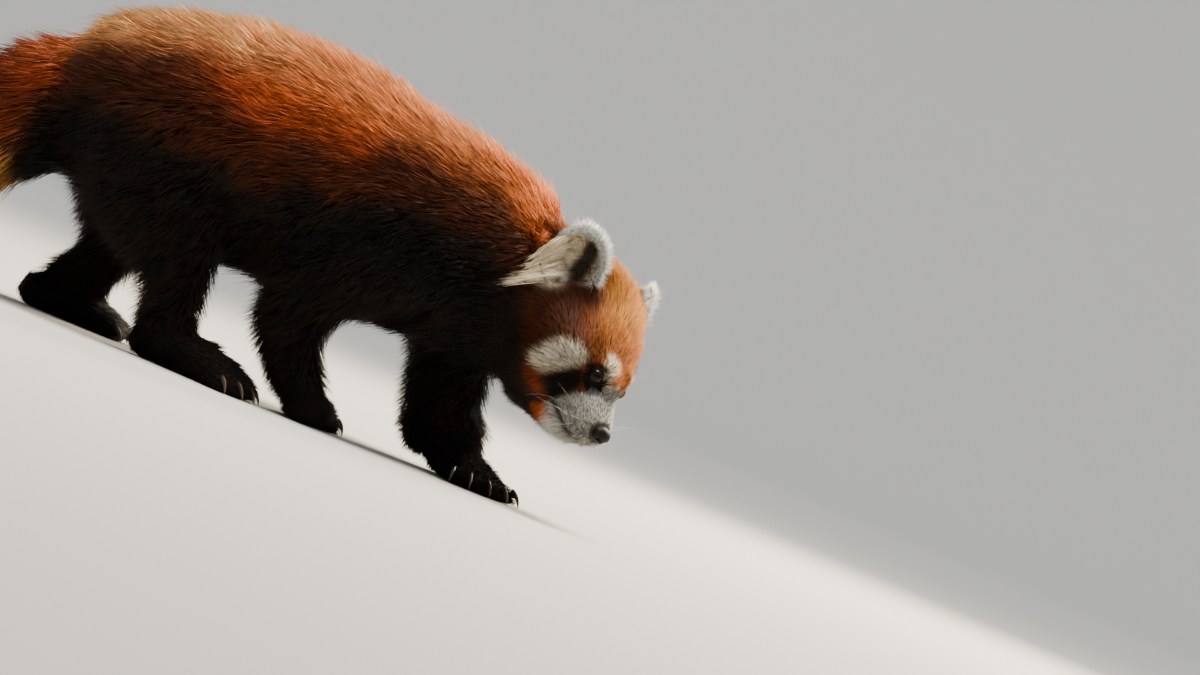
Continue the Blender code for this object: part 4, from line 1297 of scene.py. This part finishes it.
claws = {
    "length": 1.72, "radius": 0.21, "tip": 0.1, "start": 14, "turn": 60, "lift": 0.92, "floor": 0.05,
    "section": (0.74, 1.2), "blunt": 0.9, "root": "#1E1510", "end": "#5C4B3B",
    # the toes: how far each reaches, how they fan, and where they leave the foot, as shares of its size
    "reach": (0.72, 0.93, 1.0, 0.95, 0.78), "fan": 15, "toeLength": 0.34, "toeStart": (0.66, 0.161),
    "back": 0.84,  # from the toe's end to the claw's root
}


def makeClaw(leg, index, material):
    foot = feet[leg]
    turn = Matrix.Rotation(math.radians(foot["heading"]), 4, "Z")
    spread = index - 2
    angle = math.radians(spread * claws["fan"])
    along = Vector((math.cos(angle), math.sin(angle), 0))
    reach = foot["length"] * claws["toeLength"] * claws["reach"][index] - claws["back"]
    ahead, beside = claws["toeStart"]
    start = Vector((foot["length"] * ahead, spread * foot["width"] * beside, 0))
    root = start + along * (reach + 0.02) + Vector((0, 0, claws["lift"]))
    bm = bmesh.new()
    bmesh.ops.create_cone(bm, cap_ends=True, segments=12, radius1=1.0, radius2=1.0, depth=1.0)
    long = [e for e in bm.edges if abs(e.verts[0].co.z - e.verts[1].co.z) > 0.5]
    bmesh.ops.subdivide_edges(bm, edges=long, cuts=9)
    bend = claws["length"] / math.radians(claws["turn"])
    first = math.radians(claws["start"])
    side = along.cross(Vector((0, 0, 1)))
    wide, high = claws["section"]
    shares = []
    for vert in bm.verts:
        t = vert.co.z + 0.5
        now = first + math.radians(claws["turn"]) * t
        line = root + along * bend * (math.sin(now) - math.sin(first))
        line.z -= bend * (math.cos(first) - math.cos(now))
        blunt = math.sqrt(max(0.0, 1 - max(0.0, (t - claws["blunt"]) / 0.1) ** 2 * 0.8))
        radius = claws["radius"] * (1 - (1 - claws["tip"]) * t ** 1.5) * blunt
        upward = along * math.sin(now) + Vector((0, 0, math.cos(now)))
        vert.co = line + side * vert.co.x * radius * wide + upward * vert.co.y * radius * high
        shares.append(t)
    low = min(v.co.z for v in bm.verts)
    up = max(0.0, claws["floor"] - low)
    bmesh.ops.transform(bm, matrix=Matrix.Translation((0, 0, up)), verts=bm.verts)
    matrix = toMetres @ Matrix.Translation((*foot["heel"], 0)) @ turn
    bmesh.ops.transform(bm, matrix=matrix, verts=bm.verts)
    bmesh.ops.recalc_face_normals(bm, faces=bm.faces)
    label = "claw" + "".join(w.capitalize() for w in leg.split("_")) + str(index + 1)
    claw = fromBmesh(label, bm, material)
    share = np.array(shares)[:, None]
    paint(claw.data, linear(claws["root"]) * (1 - share) + linear(claws["end"]) * share)
    unwrap(claw)
    place(claw, "horn", f"{leg}_claw_{index + 1}")


wetEye = eyeMaterial()
makeEye("eye_right", -1, wetEye)
makeEye("eye_left", 1, wetEye)
makeNose()
clawHorn = hornMaterial()
for leg in feet:
    for index in range(5):
        makeClaw(leg, index, clawHorn)
print("eyes, nose and claws made")


# Stage: a round sweep of pale board with soft light

stage = {
    "radius": 11.0, "bend": 2.5, "height": 7.0,
    "middle": "#BDBBB7", "edge": "#F4F3F0", "from": 0.8, "to": 6.0, "room": 0.76, "roomColour": "#EEF1F5",
}
lights = {  # size, power, place, the point it shines at, and colour
    "keyAbove": ((1.4, 1.4), 235, (0.5, 0.0, 2.7), (0.05, 0, 0.15), "#FFF4E4"),
    "backRim": ((1.2, 0.8), 110, (1.3, 1.6, 1.3), (0.15, 0, 0.15), "#FFEBCB"),
    "frontFill": ((2.5, 1.6), 8, (1.6, -3.6, 1.4), (0.2, 0, 0.12), "#FFFFFF"),
}


# Matt painted board, rolled: pale and almost without gloss, painted darker in the middle and paler out to the
# wall, as painted light that evens out the lamps' fall-off
def boardMaterial():
    material, tree, shader = newMaterial("paintedBoard", 0.9, Specular_IOR_Level=0.1)
    where = addNode(tree, "ShaderNodeTexCoord")
    away = addNode(tree, "ShaderNodeVectorMath", {"operation": "LENGTH"}, Vector=where.outputs["Object"])
    settings = {"From Min": stage["from"], "From Max": stage["to"]}
    reach = addNode(tree, "ShaderNodeMapRange", settings, Value=away.outputs["Value"])
    tone = addNode(tree, "ShaderNodeValToRGB", Fac=reach.outputs["Result"])
    for stop, code in zip(tone.color_ramp.elements, (stage["middle"], stage["edge"])):
        stop.color = (*linear(code), 1)
    tree.links.new(tone.outputs["Color"], shader.inputs["Base Color"])
    return material


def makeStage():
    bm = bmesh.new()
    radius, bend = stage["radius"], stage["bend"]
    line = [(0.0, 0.0), (3.0, 0.0), (radius - bend, 0.0)]
    for a in np.linspace(0.15, math.pi / 2, 10):
        line.append((radius - bend + bend * math.sin(a), bend - bend * math.cos(a)))
    line.append((radius, stage["height"]))
    verts = [bm.verts.new((r, 0, z)) for r, z in line]
    strip = [bm.edges.new(pair) for pair in zip(verts, verts[1:])]
    turn = {"cent": (0, 0, 0), "axis": (0, 0, 1), "angle": math.tau, "steps": 72, "use_merge": True}
    bmesh.ops.spin(bm, geom=strip + verts, **turn)
    bmesh.ops.remove_doubles(bm, verts=bm.verts, dist=1e-4)
    bmesh.ops.recalc_face_normals(bm, faces=bm.faces)
    if sum(f.normal.z for f in bm.faces) < 0:
        bmesh.ops.reverse_faces(bm, faces=bm.faces)
    fromBmesh("floor", bm, boardMaterial())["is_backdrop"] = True


def addLight(name, size, power, spot, aim, colour):
    data = bpy.data.lights.new(name, "AREA")
    data.shape, data.size, data.size_y = "RECTANGLE", size[0], size[1]
    data.energy, data.color = power, linear(colour)
    made = newObject(name, data)
    made.location = spot
    made.rotation_mode = "QUATERNION"
    made.rotation_quaternion = (Vector(aim) - Vector(spot)).to_track_quat("-Z", "Y")


makeStage()
world = bpy.data.worlds.new("softRoom")
bpy.context.scene.world = world
world.use_nodes = True
backdrop = world.node_tree.nodes["Background"]
backdrop.inputs["Color"].default_value = (*linear(stage["roomColour"]), 1)
backdrop.inputs["Strength"].default_value = stage["room"]
for name, values in lights.items():
    addLight(name, *values)
print("stage and lights made")

low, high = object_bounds()
